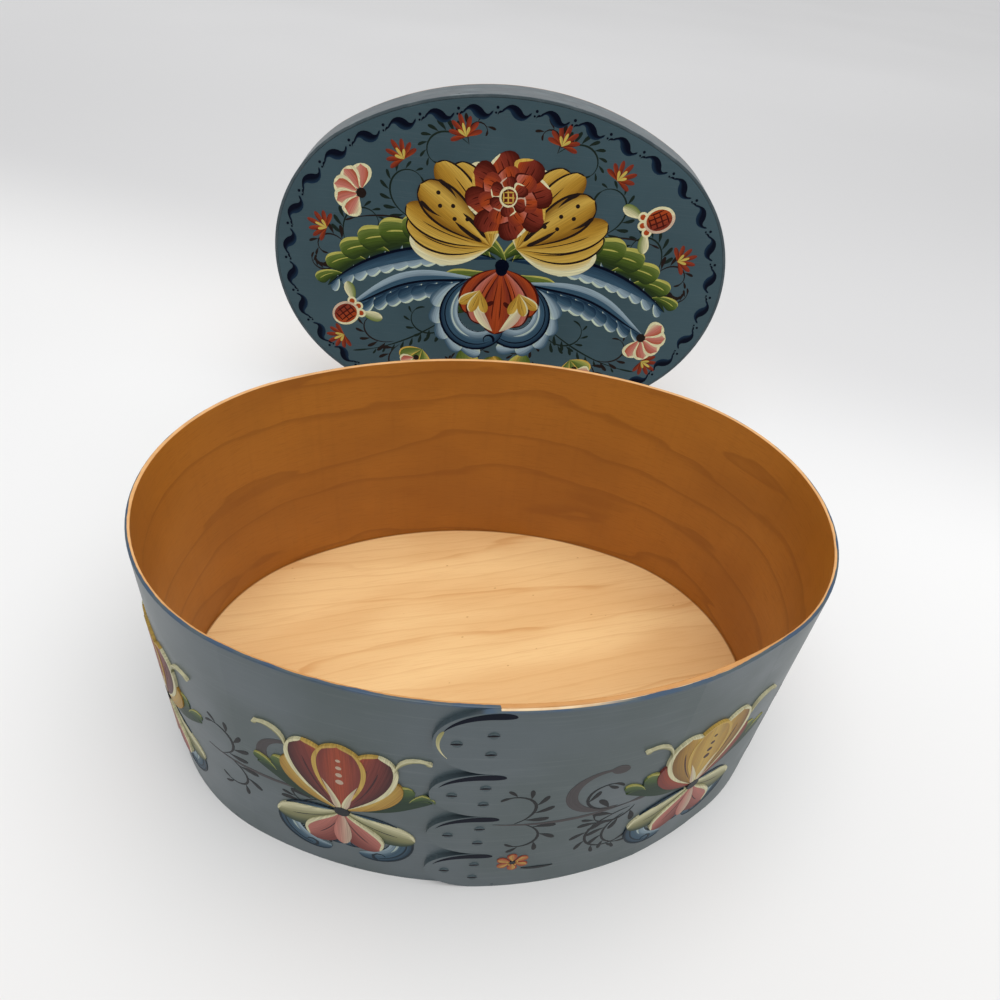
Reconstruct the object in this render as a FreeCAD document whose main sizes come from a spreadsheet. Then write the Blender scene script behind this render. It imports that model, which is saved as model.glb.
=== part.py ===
import FreeCAD, Part
import math
import os

import Sketcher
from FreeCAD import Placement, Rotation, Vector

# Oval bentwood box with a lift-off lid, painted outside, stained or bare inside.
# The box stands at the origin on its bottom board, +X along its length, -Y towards its lap.
# The lid stands behind it on its long edge, with its painted top turned to the front.

os.makedirs("parts", exist_ok=True)
doc = FreeCAD.newDocument("bentwood_box")

# Driving dimensions in millimetres, and in degrees where they say angle or turn
SIZES = [
    ("half_length", 143, "half the length of the box band, outside"),
    ("half_width", 105.5, "half the width of the box band, outside"),
    ("shoulder_angle", 60, "angle at which the end arcs of the oval pass into its side arcs"),
    ("band_thickness", 1.8, "bent strip of the box"),
    ("band_height", 123, "height of the box band"),
    ("rim_ease", 0.4, "rounding of the sanded arrises along the rims"),
    ("bottom_thickness", 4, "bottom board"),
    ("glue_gap", 0.05, "glue line between a board and its band"),
    ("lap_root", 6.5, "from the middle of the front to the roots of the fingers"),
    ("finger_length", 21.5, "from root to tip of a finger of the box"),
    ("top_finger", 36, "height of the top finger at its root"),
    ("lap_reach", 62, "from the middle of the front to where the inner end starts to thin"),
    ("feather", 34, "length over which the inner end thins out to nothing"),
    ("tack_head", 3.8, "diameter of a tack's head"),
    ("tack_rise", 0.35, "height of a tack's head"),
    ("tack_shank", 1.1, "diameter of a tack's shank"),
    ("tack_clinch", 0.7, "how far a clinched tack stands out inside"),
    ("hole_fit", 0.05, "room round a tack or a pin in its hole"),
    ("root_inset", 2, "from the finger roots to the row of tacks beside them"),
    ("root_spread", 11, "between the two tacks in the root of a finger"),
    ("tip_inset", 13.5, "from the finger roots to the tack near each tip"),
    ("pin_width", 1.3, "diameter of the wooden pins that hold the boards"),
    ("pin_length", 9, "length of those pins"),
    ("lid_gap", 0.5, "running room between the lid and the box with its lap"),
    ("lid_band_thickness", 1.8, "bent strip of the lid"),
    ("lid_band_height", 24, "height of the lid band"),
    ("lid_board_thickness", 5, "board of the lid"),
    ("lid_finger_length", 18, "from root to tip of the lid's one finger"),
    ("lid_lap_reach", 50, "from the middle to where the lid's inner end starts to thin"),
    ("lid_feather", 30, "length over which the lid's inner end thins out"),
    ("lid_root_spread", 9, "between the two tacks in the root of the lid's finger"),
    ("lid_stand_x", 23.6, "middle of the standing lid's top face, along the box"),
    ("lid_stand_y", 231.9, "middle of the standing lid's top face, behind the box"),
    ("lid_turn", -6, "turn of the standing lid about the vertical"),
]
LOW_FINGERS = 3
BOX_PINS = 14
LID_PINS = 12

sheet = doc.addObject("Spreadsheet::Sheet", "Sizes")
for row, (alias, value, note) in enumerate(SIZES, start=1):
    sheet.set("A%d" % row, alias)
    sheet.set("B%d" % row, str(value))
    sheet.setAlias("B%d" % row, alias)
    sheet.set("C%d" % row, note)
doc.recompute()


def size(alias):
    """Value of a cell of the sheet."""
    return float(sheet.get(alias))


class Outline:
    """Oval of four tangent arcs that lies an even distance outside the box band's own oval.

    The distance is an expression on the sheet, worked out here as well for the placing of parts.
    """

    def __init__(self, *terms):
        self.offset = 0.0
        self.expression = ""
        for share, alias in terms:
            self.offset += share * size(alias)
            self.expression += " + %s * Sizes.%s" % (share, alias)
        length, width = size("half_length"), size("half_width")
        self.shoulder = math.radians(size("shoulder_angle"))
        slope = math.cos(self.shoulder) / (1 - math.sin(self.shoulder))
        end_radius = (slope * width - length) / (slope - 1)
        self.end_centre = length - end_radius
        side_radius = end_radius + self.end_centre / math.cos(self.shoulder)
        self.side_centre = side_radius - width
        self.end_radius = end_radius + self.offset
        self.side_radius = side_radius + self.offset
        self.half_length = length + self.offset
        self.half_width = width + self.offset

    def front(self, x, z):
        """Point and outward normal on the front side arc at x."""
        y = self.side_centre - math.sqrt(self.side_radius ** 2 - x ** 2)
        return Vector(x, y, z), Vector(x, y - self.side_centre, 0).normalize()

    def around(self, share, z):
        """Point and outward normal at a share of the way round from the right-hand end."""
        end_run = self.shoulder * self.end_radius
        side_run = (math.pi / 2 - self.shoulder) * self.side_radius
        quarter, along = divmod(share * 4, 1)
        if quarter % 2:
            along = 1 - along
        travel = along * (end_run + side_run)
        if travel < end_run:
            angle = travel / self.end_radius
            centre, radius = Vector(self.end_centre, 0, 0), self.end_radius
        else:
            angle = self.shoulder + (travel - end_run) / self.side_radius
            centre, radius = Vector(0, -self.side_centre, 0), self.side_radius
        normal = Vector(math.cos(angle), math.sin(angle), 0)
        point = centre + normal * radius
        flip_x = 1 if quarter in (0, 3) else -1
        flip_y = 1 if quarter in (0, 1) else -1
        return (Vector(point.x * flip_x, point.y * flip_y, z),
                Vector(normal.x * flip_x, normal.y * flip_y, 0))


BOX_OUTSIDE = Outline()
BOX_INSIDE = Outline((-1, "band_thickness"))
BOTTOM_EDGE = Outline((-1, "band_thickness"), (-1, "glue_gap"))
LAP_OUTSIDE = Outline((1, "band_thickness"))
LID_INSIDE = Outline((0.5, "band_thickness"), (1, "lid_gap"))
LID_OUTSIDE = Outline((0.5, "band_thickness"), (1, "lid_gap"), (1, "lid_band_thickness"))
LID_BOARD_EDGE = Outline((0.5, "band_thickness"), (1, "lid_gap"), (-1, "glue_gap"))
LID_LAP_OUTSIDE = Outline((0.5, "band_thickness"), (1, "lid_gap"), (2, "lid_band_thickness"))

ORIGIN, X_AXIS, Y_AXIS = -1, -1, -2
START, END, CENTRE = 1, 2, 3
UP = Vector(0, 0, 1)


def origin_plane(body, role):
    """One of a body's own origin planes."""
    return [plane for plane in body.Origin.OriginFeatures if plane.Role == role][0]


def outline_sketch(body):
    """Empty sketch on the body's own XY plane."""
    sketch = body.newObject("Sketcher::SketchObject", body.Name + "_outline")
    sketch.AttachmentSupport = (origin_plane(body, "XY_Plane"), [""])
    sketch.MapMode = "FlatFace"
    return sketch


def rule(sketch, *words):
    """Constraint without a size."""
    return sketch.addConstraint(Sketcher.Constraint(*words))


def dimension(sketch, name, expression, *words):
    """Constraint with a name whose value comes from the sheet."""
    sketch.renameConstraint(rule(sketch, *words), name)
    sketch.setExpression("Constraints." + name, expression)


def quarter_arcs(sketch, outline, name):
    """End arc and side arc of a quarter of an oval, from the X axis to the Y axis."""
    end_centre, side_centre = Vector(outline.end_centre, 0, 0), Vector(0, -outline.side_centre, 0)
    bend = outline.shoulder
    join = end_centre + Vector(math.cos(bend), math.sin(bend), 0) * outline.end_radius
    end_arc = sketch.addGeometry(Part.ArcOfCircle(
        Part.Circle(end_centre, UP, outline.end_radius), 0, bend), False)
    side_arc = sketch.addGeometry(Part.ArcOfCircle(
        Part.Circle(side_centre, UP, outline.side_radius), bend, math.pi / 2), False)
    ray = sketch.addGeometry(Part.LineSegment(side_centre, join), True)
    rule(sketch, "PointOnObject", end_arc, CENTRE, X_AXIS)
    rule(sketch, "PointOnObject", end_arc, START, X_AXIS)
    rule(sketch, "PointOnObject", side_arc, CENTRE, Y_AXIS)
    rule(sketch, "PointOnObject", side_arc, END, Y_AXIS)
    rule(sketch, "Tangent", end_arc, END, side_arc, START)
    rule(sketch, "Coincident", ray, START, side_arc, CENTRE)
    rule(sketch, "Coincident", ray, END, side_arc, START)
    dimension(sketch, name + "_half_length", "Sizes.half_length" + outline.expression,
              "DistanceX", ORIGIN, START, end_arc, START, outline.half_length)
    dimension(sketch, name + "_half_width", "Sizes.half_width" + outline.expression,
              "DistanceY", ORIGIN, START, side_arc, END, outline.half_width)
    dimension(sketch, name + "_shoulder", "Sizes.shoulder_angle * 1 deg", "Angle", ray, bend)
    return end_arc, side_arc


def join_line(sketch, first, first_end, second, second_end):
    """Straight line from one point of the sketch to another."""
    line = sketch.addGeometry(Part.LineSegment(
        sketch.getPoint(first, first_end), sketch.getPoint(second, second_end)), False)
    rule(sketch, "Coincident", line, START, first, first_end)
    rule(sketch, "Coincident", line, END, second, second_end)
    return line


def pad(body, sketch, height):
    """Pad a sketch up from the XY plane."""
    feature = body.newObject("PartDesign::Pad", body.Name + "_pad")
    feature.Profile = sketch
    feature.setExpression("Length", height)
    body.Tip = feature
    doc.recompute()
    return feature


def four_quarters(body, feature):
    """Mirror a quarter in both upright origin planes."""
    whole = body.newObject("PartDesign::MultiTransform", body.Name + "_whole")
    whole.Originals = [feature]
    mirrors = []
    for role in ("YZ_Plane", "XZ_Plane"):
        mirrored = body.newObject("PartDesign::Mirrored", body.Name + "_mirror")
        mirrored.MirrorPlane = (origin_plane(body, role), [""])
        mirrors.append(mirrored)
    whole.Transformations = mirrors
    body.Tip = whole
    doc.recompute()
    return whole


def ease_rim(body, feature, *heights):
    """Round the arrises that run round the band at the given heights."""
    edges = ["Edge%d" % number for number, edge in enumerate(feature.Shape.Edges, start=1)
             if edge.BoundBox.ZLength < 1e-6 and edge.Length > 2 * size("band_thickness")
             and any(abs(edge.BoundBox.ZMin - height) < 1e-6 for height in heights)]
    fillet = body.newObject("PartDesign::Fillet", body.Name + "_eased")
    fillet.Base = (feature, edges)
    fillet.setExpression("Radius", "Sizes.rim_ease")
    body.Tip = fillet
    doc.recompute()


def oval_ring(name, outside, inside, height):
    """Bent strip closed to an oval, as high as a named size."""
    body = doc.addObject("PartDesign::Body", name)
    sketch = outline_sketch(body)
    outer = quarter_arcs(sketch, outside, "outer")
    inner = quarter_arcs(sketch, inside, "inner")
    join_line(sketch, outer[0], START, inner[0], START)
    join_line(sketch, outer[1], END, inner[1], END)
    whole = four_quarters(body, pad(body, sketch, "Sizes." + height))
    ease_rim(body, whole, size(height))
    return body


def oval_board(name, edge, thickness):
    """Flat board with an oval edge."""
    body = doc.addObject("PartDesign::Body", name)
    sketch = outline_sketch(body)
    end_arc, side_arc = quarter_arcs(sketch, edge, "edge")
    middle = sketch.addGeometry(Part.Point(Vector(0, 0, 0)), True)
    rule(sketch, "Coincident", middle, START, ORIGIN, START)
    join_line(sketch, middle, START, end_arc, START)
    join_line(sketch, middle, START, side_arc, END)
    four_quarters(body, pad(body, sketch, "Sizes." + thickness))
    return body


def lap_strip(name, inside, outside, root, finger, reach, feather, height):
    """Outer layer of the lap, before its fingers are cut, over the front side arc.

    It keeps its thickness as far as the inner end does, and then comes down on the oval.
    """
    body = doc.addObject("PartDesign::Body", name)
    sketch = outline_sketch(body)
    centre = Vector(0, inside.side_centre, 0)
    tip_x, full_x = -size(root) - size(finger), size(reach)
    end_x = full_x + size(feather)

    def angle(outline, x):
        return -math.pi / 2 + math.asin(x / outline.side_radius)

    inner = sketch.addGeometry(Part.ArcOfCircle(
        Part.Circle(centre, UP, inside.side_radius), angle(inside, tip_x), angle(inside, end_x)), False)
    outer = sketch.addGeometry(Part.ArcOfCircle(
        Part.Circle(centre, UP, outside.side_radius), angle(outside, tip_x), angle(outside, full_x)), False)
    start_point, end_point = outside.front(full_x, 0)[0], inside.front(end_x, 0)[0]
    middle = (start_point + end_point) * 0.5
    run = end_point - start_point
    height_of_arc = math.sqrt(inside.side_radius ** 2 - (run.Length / 2) ** 2)
    across = Vector(-run.y, run.x, 0).normalize()
    landing = middle + across * height_of_arc
    ramp_start = math.atan2(start_point.y - landing.y, start_point.x - landing.x)
    ramp_end = math.atan2(end_point.y - landing.y, end_point.x - landing.x)
    ramp = sketch.addGeometry(Part.ArcOfCircle(
        Part.Circle(landing, UP, inside.side_radius), ramp_start, ramp_end), False)
    rule(sketch, "PointOnObject", inner, CENTRE, Y_AXIS)
    rule(sketch, "Coincident", outer, CENTRE, inner, CENTRE)
    rule(sketch, "Coincident", ramp, START, outer, END)
    rule(sketch, "Coincident", ramp, END, inner, END)
    tip = join_line(sketch, outer, START, inner, START)
    rule(sketch, "Vertical", tip)
    rule(sketch, "Equal", ramp, inner)
    dimension(sketch, "lap_centre", side_centre_expression(),
              "DistanceY", ORIGIN, START, inner, CENTRE, inside.side_centre)
    dimension(sketch, "lap_inside", "%s%s" % (side_radius_expression(), inside.expression),
              "Radius", inner, inside.side_radius)
    dimension(sketch, "lap_outside", "%s%s" % (side_radius_expression(), outside.expression),
              "Radius", outer, outside.side_radius)
    dimension(sketch, "lap_left", "Sizes.%s + Sizes.%s" % (root, finger),
              "DistanceX", inner, START, ORIGIN, START, -tip_x)
    dimension(sketch, "lap_full", "Sizes." + reach,
              "DistanceX", ORIGIN, START, outer, END, full_x)
    dimension(sketch, "lap_right", "Sizes.%s + Sizes.%s" % (reach, feather),
              "DistanceX", ORIGIN, START, inner, END, end_x)
    pad(body, sketch, "Sizes." + height)
    return body


def end_radius_expression():
    """Radius of the end arcs of the box band's oval, on the sheet."""
    slope = "(cos(Sizes.shoulder_angle * 1 deg) / (1 - sin(Sizes.shoulder_angle * 1 deg)))"
    return "((%s * Sizes.half_width - Sizes.half_length) / (%s - 1))" % (slope, slope)


def side_radius_expression():
    """Radius of the side arcs of the box band's oval, on the sheet."""
    end = end_radius_expression()
    return "(%s + (Sizes.half_length - %s) / cos(Sizes.shoulder_angle * 1 deg))" % (end, end)


def side_centre_expression():
    """Distance from the middle of the box to the centre of a side arc, on the sheet."""
    return "(%s - Sizes.half_width)" % side_radius_expression()


def turned(point, normal):
    """Placement of a tack or pin whose length runs along the outward normal."""
    return Placement(point, Rotation(UP, normal))


def finger_prism(name, length, low, high, root):
    """Half-oval finger seen from the front, drawn as a whole ellipse and run through the wall."""
    half_height = (high[0] - low[0]) / 2
    lies_flat = size(length) >= half_height
    ellipse = doc.addObject("Part::Ellipse", name + "_ellipse")
    long_way, short_way = "Sizes." + length, "((%s) - (%s)) / 2" % (high[1], low[1])
    if not lies_flat:
        long_way, short_way = short_way, long_way
    ellipse.setExpression("MajorRadius", long_way)
    ellipse.setExpression("MinorRadius", short_way)
    ellipse.Placement = Placement(
        Vector(-size(root), 0, (low[0] + high[0]) / 2),
        Rotation(Vector(1 if lies_flat else 0, 0, 0 if lies_flat else 1), Vector(0, 0, 0), Vector(0, -1, 0)))
    ellipse.setExpression("Placement.Base.x", "-Sizes." + root)
    ellipse.setExpression("Placement.Base.z", "((%s) + (%s)) / 2" % (high[1], low[1]))
    prism = doc.addObject("Part::Extrusion", name)
    prism.Base = ellipse
    prism.DirMode = "Custom"
    prism.Dir = Vector(0, -1, 0)
    prism.setExpression("LengthFwd", "Sizes.half_width * 2")
    prism.Solid = True
    return prism


def cut_fingers(name, strip, fingers, root, height):
    """Keep the strip to the right of the finger roots, and the fingers to their left."""
    block = doc.addObject("Part::Box", name + "_block")
    block.setExpression("Length", "Sizes.half_length * 2")
    block.setExpression("Width", "Sizes.half_width * 2")
    block.setExpression("Height", "Sizes." + height)
    block.setExpression("Placement.Base.x", "-Sizes." + root)
    block.setExpression("Placement.Base.y", "-Sizes.half_width * 2")
    stencil = doc.addObject("Part::MultiFuse", name + "_stencil")
    stencil.Shapes = [block] + fingers
    lap = doc.addObject("Part::Common", name)
    lap.Base = strip
    lap.Tool = stencil
    doc.recompute()
    return lap


def cylinder(name, width, length, placement):
    """Round bar along a placement's Z axis."""
    bar = doc.addObject("Part::Cylinder", name)
    bar.setExpression("Radius", width)
    bar.setExpression("Height", length)
    bar.Placement = placement
    return bar


def group(name, members):
    """Several separate solids under one name."""
    compound = doc.addObject("Part::Compound", name)
    compound.Links = members
    return compound


def tacks(name, places, thickness):
    """Tacks whose flat heads lie on the lap and whose points are clinched inside, with their holes."""
    whole, holes = [], []
    for number, (point, normal) in enumerate(places):
        through = "2 * Sizes.%s" % thickness
        depth = 2 * size(thickness)
        on_wall = turned(point, normal)
        inside_wall = turned(point - normal * depth, normal)
        clinch_end = turned(point - normal * (depth + size("tack_clinch")), normal)
        head = doc.addObject("Part::Cone", "%s_head_%d" % (name, number))
        head.setExpression("Radius1", "Sizes.tack_head / 2")
        head.setExpression("Radius2", "Sizes.tack_head / 2 - Sizes.tack_rise")
        head.setExpression("Height", "Sizes.tack_rise")
        head.Placement = on_wall
        shank = cylinder("%s_shank_%d" % (name, number), "Sizes.tack_shank / 2", through, inside_wall)
        clinch = doc.addObject("Part::Cone", "%s_clinch_%d" % (name, number))
        clinch.setExpression("Radius1", "Sizes.tack_shank / 2")
        clinch.setExpression("Radius2", "Sizes.tack_shank")
        clinch.setExpression("Height", "Sizes.tack_clinch")
        clinch.Placement = clinch_end
        tack = doc.addObject("Part::MultiFuse", "%s_%d" % (name, number))
        tack.Shapes = [head, shank, clinch]
        whole.append(tack)
        holes.append(cylinder("%s_hole_%d" % (name, number), "Sizes.tack_shank / 2 + Sizes.hole_fit",
                              "4 * Sizes.%s" % thickness,
                              turned(point - normal * 1.5 * depth, normal)))
    return whole, holes


def pins(name, count, outline, lap, lap_left, lap_right, height_expression, level):
    """Wooden pins from the outside of the band into a board's edge, with their holes."""
    whole, holes = [], []
    for number in range(count):
        point, normal = outline.around((number + 0.5) / count, level)
        if point.y < 0 and lap_left < point.x < lap_right:
            point, normal = lap.front(point.x, level)
        seat = turned(point - normal * size("pin_length"), normal)
        pin = cylinder("%s_%d" % (name, number), "Sizes.pin_width / 2", "Sizes.pin_length", seat)
        hole = cylinder("%s_hole_%d" % (name, number), "Sizes.pin_width / 2 + Sizes.hole_fit",
                        "2 * Sizes.pin_length", seat)
        for item in (pin, hole):
            item.setExpression("Placement.Base.z", height_expression)
        whole.append(pin)
        holes.append(hole)
    return whole, holes


def drilled(label, base, holes):
    """Finished piece: the base with its holes cut."""
    tool = doc.addObject("Part::MultiFuse", label + "_drill")
    tool.Shapes = holes
    piece = doc.addObject("Part::Cut", label + "_drilled")
    piece.Base = base
    piece.Tool = tool
    piece.Label = label
    return piece


def band_with_lap(name, ring, lap):
    """The strip is one piece, so its overlapped end is joined to the ring."""
    band = doc.addObject("Part::Fuse", name)
    band.Base = ring
    band.Tool = lap
    band.Refine = False
    return band


# Box band with four fingers, the low ones sharing what the top one leaves
low_share = "(Sizes.band_height - Sizes.top_finger) / %d" % LOW_FINGERS
low_height = (size("band_height") - size("top_finger")) / LOW_FINGERS
box_spans = [((low_height * n, "%s * %d" % (low_share, n)),
              (low_height * (n + 1), "%s * %d" % (low_share, n + 1))) for n in range(LOW_FINGERS)]
box_spans.append((box_spans[-1][1], (size("band_height"), "Sizes.band_height")))
box_fingers = [finger_prism("box_finger_%d" % n, "finger_length", low, high, "lap_root")
               for n, (low, high) in enumerate(box_spans)]
box_ring = oval_ring("box_ring", BOX_OUTSIDE, BOX_INSIDE, "band_height")
box_strip = lap_strip("box_strip", BOX_OUTSIDE, LAP_OUTSIDE, "lap_root", "finger_length",
                      "lap_reach", "feather", "band_height")
box_lap = cut_fingers("box_lap", box_strip, box_fingers, "lap_root", "band_height")
box_whole = band_with_lap("box_whole", box_ring, box_lap)

root_x = -size("lap_root") - size("root_inset")
tip_x = -size("lap_root") - size("tip_inset")
tack_places = []
for low, high in box_spans:
    middle_z = (low[0] + high[0]) / 2
    for side in (-0.5, 0.5):
        tack_places.append(LAP_OUTSIDE.front(root_x, middle_z + side * size("root_spread")))
    tack_places.append(LAP_OUTSIDE.front(tip_x, middle_z))
box_tacks, tack_holes = tacks("box_tack", tack_places, "band_thickness")
box_pins, box_pin_holes = pins("box_pin", BOX_PINS, BOX_OUTSIDE, LAP_OUTSIDE,
                               root_x, size("lap_reach"),
                               "Sizes.bottom_thickness / 2", size("bottom_thickness") / 2)
bottom_board = oval_board("bottom_board", BOTTOM_EDGE, "bottom_thickness")
box_nodes = [
    drilled("box_band", box_whole, tack_holes + box_pin_holes),
    drilled("box_bottom_board", bottom_board, box_pin_holes),
    group("box_lap_tacks", box_tacks),
    group("box_bottom_pins", box_pins),
]

# Lid, made lying flat with its top up, with one finger at the front
lid_span = ((0.0, "0"), (size("lid_band_height"), "Sizes.lid_band_height"))
lid_finger = finger_prism("lid_finger", "lid_finger_length", lid_span[0], lid_span[1], "lap_root")
lid_ring = oval_ring("lid_ring", LID_OUTSIDE, LID_INSIDE, "lid_band_height")
lid_strip = lap_strip("lid_strip", LID_OUTSIDE, LID_LAP_OUTSIDE, "lap_root", "lid_finger_length",
                      "lid_lap_reach", "lid_feather", "lid_band_height")
lid_lap = cut_fingers("lid_lap", lid_strip, [lid_finger], "lap_root", "lid_band_height")
lid_whole = band_with_lap("lid_whole", lid_ring, lid_lap)
lid_middle = size("lid_band_height") / 2
lid_tack_places = [LID_LAP_OUTSIDE.front(root_x, lid_middle + side * size("lid_root_spread"))
                   for side in (-0.5, 0.5)]
lid_tack_places.append(LID_LAP_OUTSIDE.front(tip_x, lid_middle))
lid_tacks, lid_tack_holes = tacks("lid_tack", lid_tack_places, "lid_band_thickness")
board_level = size("lid_band_height") - size("lid_board_thickness") / 2
lid_pins, lid_pin_holes = pins("lid_pin", LID_PINS, LID_OUTSIDE, LID_LAP_OUTSIDE,
                               root_x, size("lid_lap_reach"),
                               "Sizes.lid_band_height - Sizes.lid_board_thickness / 2", board_level)
lid_plate = oval_board("lid_plate", LID_BOARD_EDGE, "lid_board_thickness")
lid_plate.setExpression("Placement.Base.z", "Sizes.lid_band_height - Sizes.lid_board_thickness")
lid_nodes = [
    drilled("lid_band", lid_whole, lid_tack_holes + lid_pin_holes),
    drilled("lid_board", lid_plate, lid_pin_holes),
    group("lid_lap_tacks", lid_tacks),
    group("lid_pins", lid_pins),
]
doc.recompute()

# The lid stands up on the outside of its lap or on the tacks there, top face to the front
head_corners = [(point + normal * size("tack_rise")
                 + UP.cross(normal) * side * (size("tack_head") / 2 - size("tack_rise"))).y
                for point, normal in lid_tack_places for side in (-1, 1)]
stand_height = max([LID_LAP_OUTSIDE.half_width] + [-y for y in head_corners])
stand = Rotation(UP, size("lid_turn")) * Rotation(Vector(1, 0, 0), 90)
face_centre = Vector(size("lid_stand_x"), size("lid_stand_y"), stand_height)
lid_place = Placement(face_centre - stand.multVec(Vector(0, 0, size("lid_band_height"))), stand)
for node in lid_nodes:
    node.Placement = lid_place

nodes = box_nodes + lid_nodes
labels = ["box_band", "box_bottom_board", "box_lap_tacks", "box_bottom_pins",
          "lid_band", "lid_board", "lid_lap_tacks", "lid_pins"]
for node, label in zip(nodes, labels):
    node.Label = label
doc.recompute()

for item in doc.Objects:
    if "Invalid" in item.State or "Error" in item.State:
        raise RuntimeError("%s has failed: %s" % (item.Label, item.State))
for node in nodes:
    if node.Shape.isNull() or not node.Shape.isValid() or not node.Shape.Solids:
        raise RuntimeError("%s has no sound shape" % node.Label)

for node in nodes:
    node.Shape.exportStep("parts/%s.step" % node.Label)
    box = node.Shape.BoundBox
    print("%-18s %2d solids, %9.0f mm3, x %.1f to %.1f, y %.1f to %.1f, z %.1f to %.1f" % (
        node.Label, len(node.Shape.Solids), node.Shape.Volume,
        box.XMin, box.XMax, box.YMin, box.YMax, box.ZMin, box.ZMax))
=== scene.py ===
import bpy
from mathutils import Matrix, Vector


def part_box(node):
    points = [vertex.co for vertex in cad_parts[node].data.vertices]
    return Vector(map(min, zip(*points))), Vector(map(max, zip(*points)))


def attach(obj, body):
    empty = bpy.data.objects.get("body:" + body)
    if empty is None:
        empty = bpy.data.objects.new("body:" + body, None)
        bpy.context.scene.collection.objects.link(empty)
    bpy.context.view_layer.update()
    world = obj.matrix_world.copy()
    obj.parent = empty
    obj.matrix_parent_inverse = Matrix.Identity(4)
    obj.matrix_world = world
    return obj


bl_info = {
    "name": "Painted Bentwood Box",
    "version": (1, 0, 0),
    "blender": (4, 5, 0),
    "location": "View3D > Sidebar > Bentwood",
    "description": "Finishes and flower painting of an oval bentwood box with a lift-off lid",
    "category": "Object",
}

import math
import random

import bmesh
import bpy
from bpy.props import FloatProperty, FloatVectorProperty, PointerProperty
from mathutils import Matrix, Vector

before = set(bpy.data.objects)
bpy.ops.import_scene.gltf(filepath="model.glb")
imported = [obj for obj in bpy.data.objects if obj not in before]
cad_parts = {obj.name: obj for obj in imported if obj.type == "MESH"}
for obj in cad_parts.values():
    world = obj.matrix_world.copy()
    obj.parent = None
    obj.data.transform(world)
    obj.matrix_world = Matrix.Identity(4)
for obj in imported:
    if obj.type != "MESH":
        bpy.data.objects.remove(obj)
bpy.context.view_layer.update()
MM = 0.001

# The box band's oval and its wooden strip, as they stand in model.glb
band_low, band_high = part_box("box_band")
HALF_LENGTH, HALF_WIDTH, BAND_HEIGHT = band_high
STRIP = -band_low.y - HALF_WIDTH


def linear(code):
    """Scene-linear red, green and blue of an sRGB hex code."""
    parts = [int(code[place:place + 2], 16) / 255 for place in (1, 3, 5)]
    return [part / 12.92 if part <= 0.04045 else ((part + 0.055) / 1.055) ** 2.4 for part in parts]


def colour(name, description, code):
    """Colour setting whose default is an sRGB hex code."""
    return FloatVectorProperty(name=name, description=description, subtype="COLOR",
                               size=3, min=0, max=1, default=linear(code))


def length(name, description, millimetres):
    """Length setting whose default is in millimetres."""
    return FloatProperty(name=name, description=description, unit="LENGTH", precision=4,
                         default=millimetres * MM)


def angle(name, description, degrees):
    """Angle setting whose default is in degrees."""
    return FloatProperty(name=name, description=description, subtype="ANGLE",
                         default=math.radians(degrees))


class BoxShape(bpy.types.PropertyGroup):
    """Where the painting lies on the box and its lid."""

    shoulder: angle("Shoulder", "Angle at which the oval's end arcs pass into its side arcs", 60)
    lid_turn: angle("Lid turn", "Turn of the standing lid about the vertical", -6)
    lap_root: length("Lap root", "From the middle of the front to the roots of the fingers", 6.5)
    finger: length("Finger", "From the root to the tip of a finger", 21.5)
    top_finger: length("Top finger", "Height of the top finger at its root", 36)
    lap_reach: length("Lap reach", "From the middle of the front to where the lap starts to thin", 62)
    feather: length("Feather", "Length over which the lap thins out", 34)
    root_inset: length("Root inset", "From the roots to the tacks beside them", 2)
    tip_inset: length("Tip inset", "From the roots to the tack near each tip", 13.5)
    root_spread: length("Root spread", "Between the two tacks in a root", 11)
    border_inset: length("Border inset", "From the edge of the lid's face to its painted border", 8)


class WoodColours(bpy.types.PropertyGroup):
    """Colours of the wood and of the ground coats over it."""

    ground: colour("Lid ground", "Blue ground of the lid's face", "#3D535B")
    ground_shade: colour("Lid ground shade", "Darker patches of the lid's face", "#374B52")
    side_ground: colour("Side ground", "Blue ground of the box wall", "#3D4B51")
    side_shade: colour("Side shade", "Greener, darker patches of the box wall", "#374648")
    scuff: colour("Scuff", "Pale scuffs on the lid's band", "#889194")
    rubbed: colour("Rubbed", "Rubbed paint on the lid's band", "#50575C")
    rim_blue: colour("Rim blue", "Stronger blue where the paint is thick along the rim", "#25405A")
    stain: colour("Stain", "Orange stain of the inside", "#B07120")
    # Also the painted shade along the edge of the bottom board
    stain_dark_and_gap_shade: colour("Dark stain", "Late wood under the stain", "#8C520F")
    rim_wood: colour("Rim wood", "Rubbed top edge of the band", "#DDA86C")
    bare: colour("Bare wood", "Cut edge of the outer layer", "#DCC29A")
    board: colour("Board", "Bare wood of the bottom board", "#FDD79A")
    board_dark: colour("Board grain", "Darker grain of the bottom board", "#D99F5E")


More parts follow.
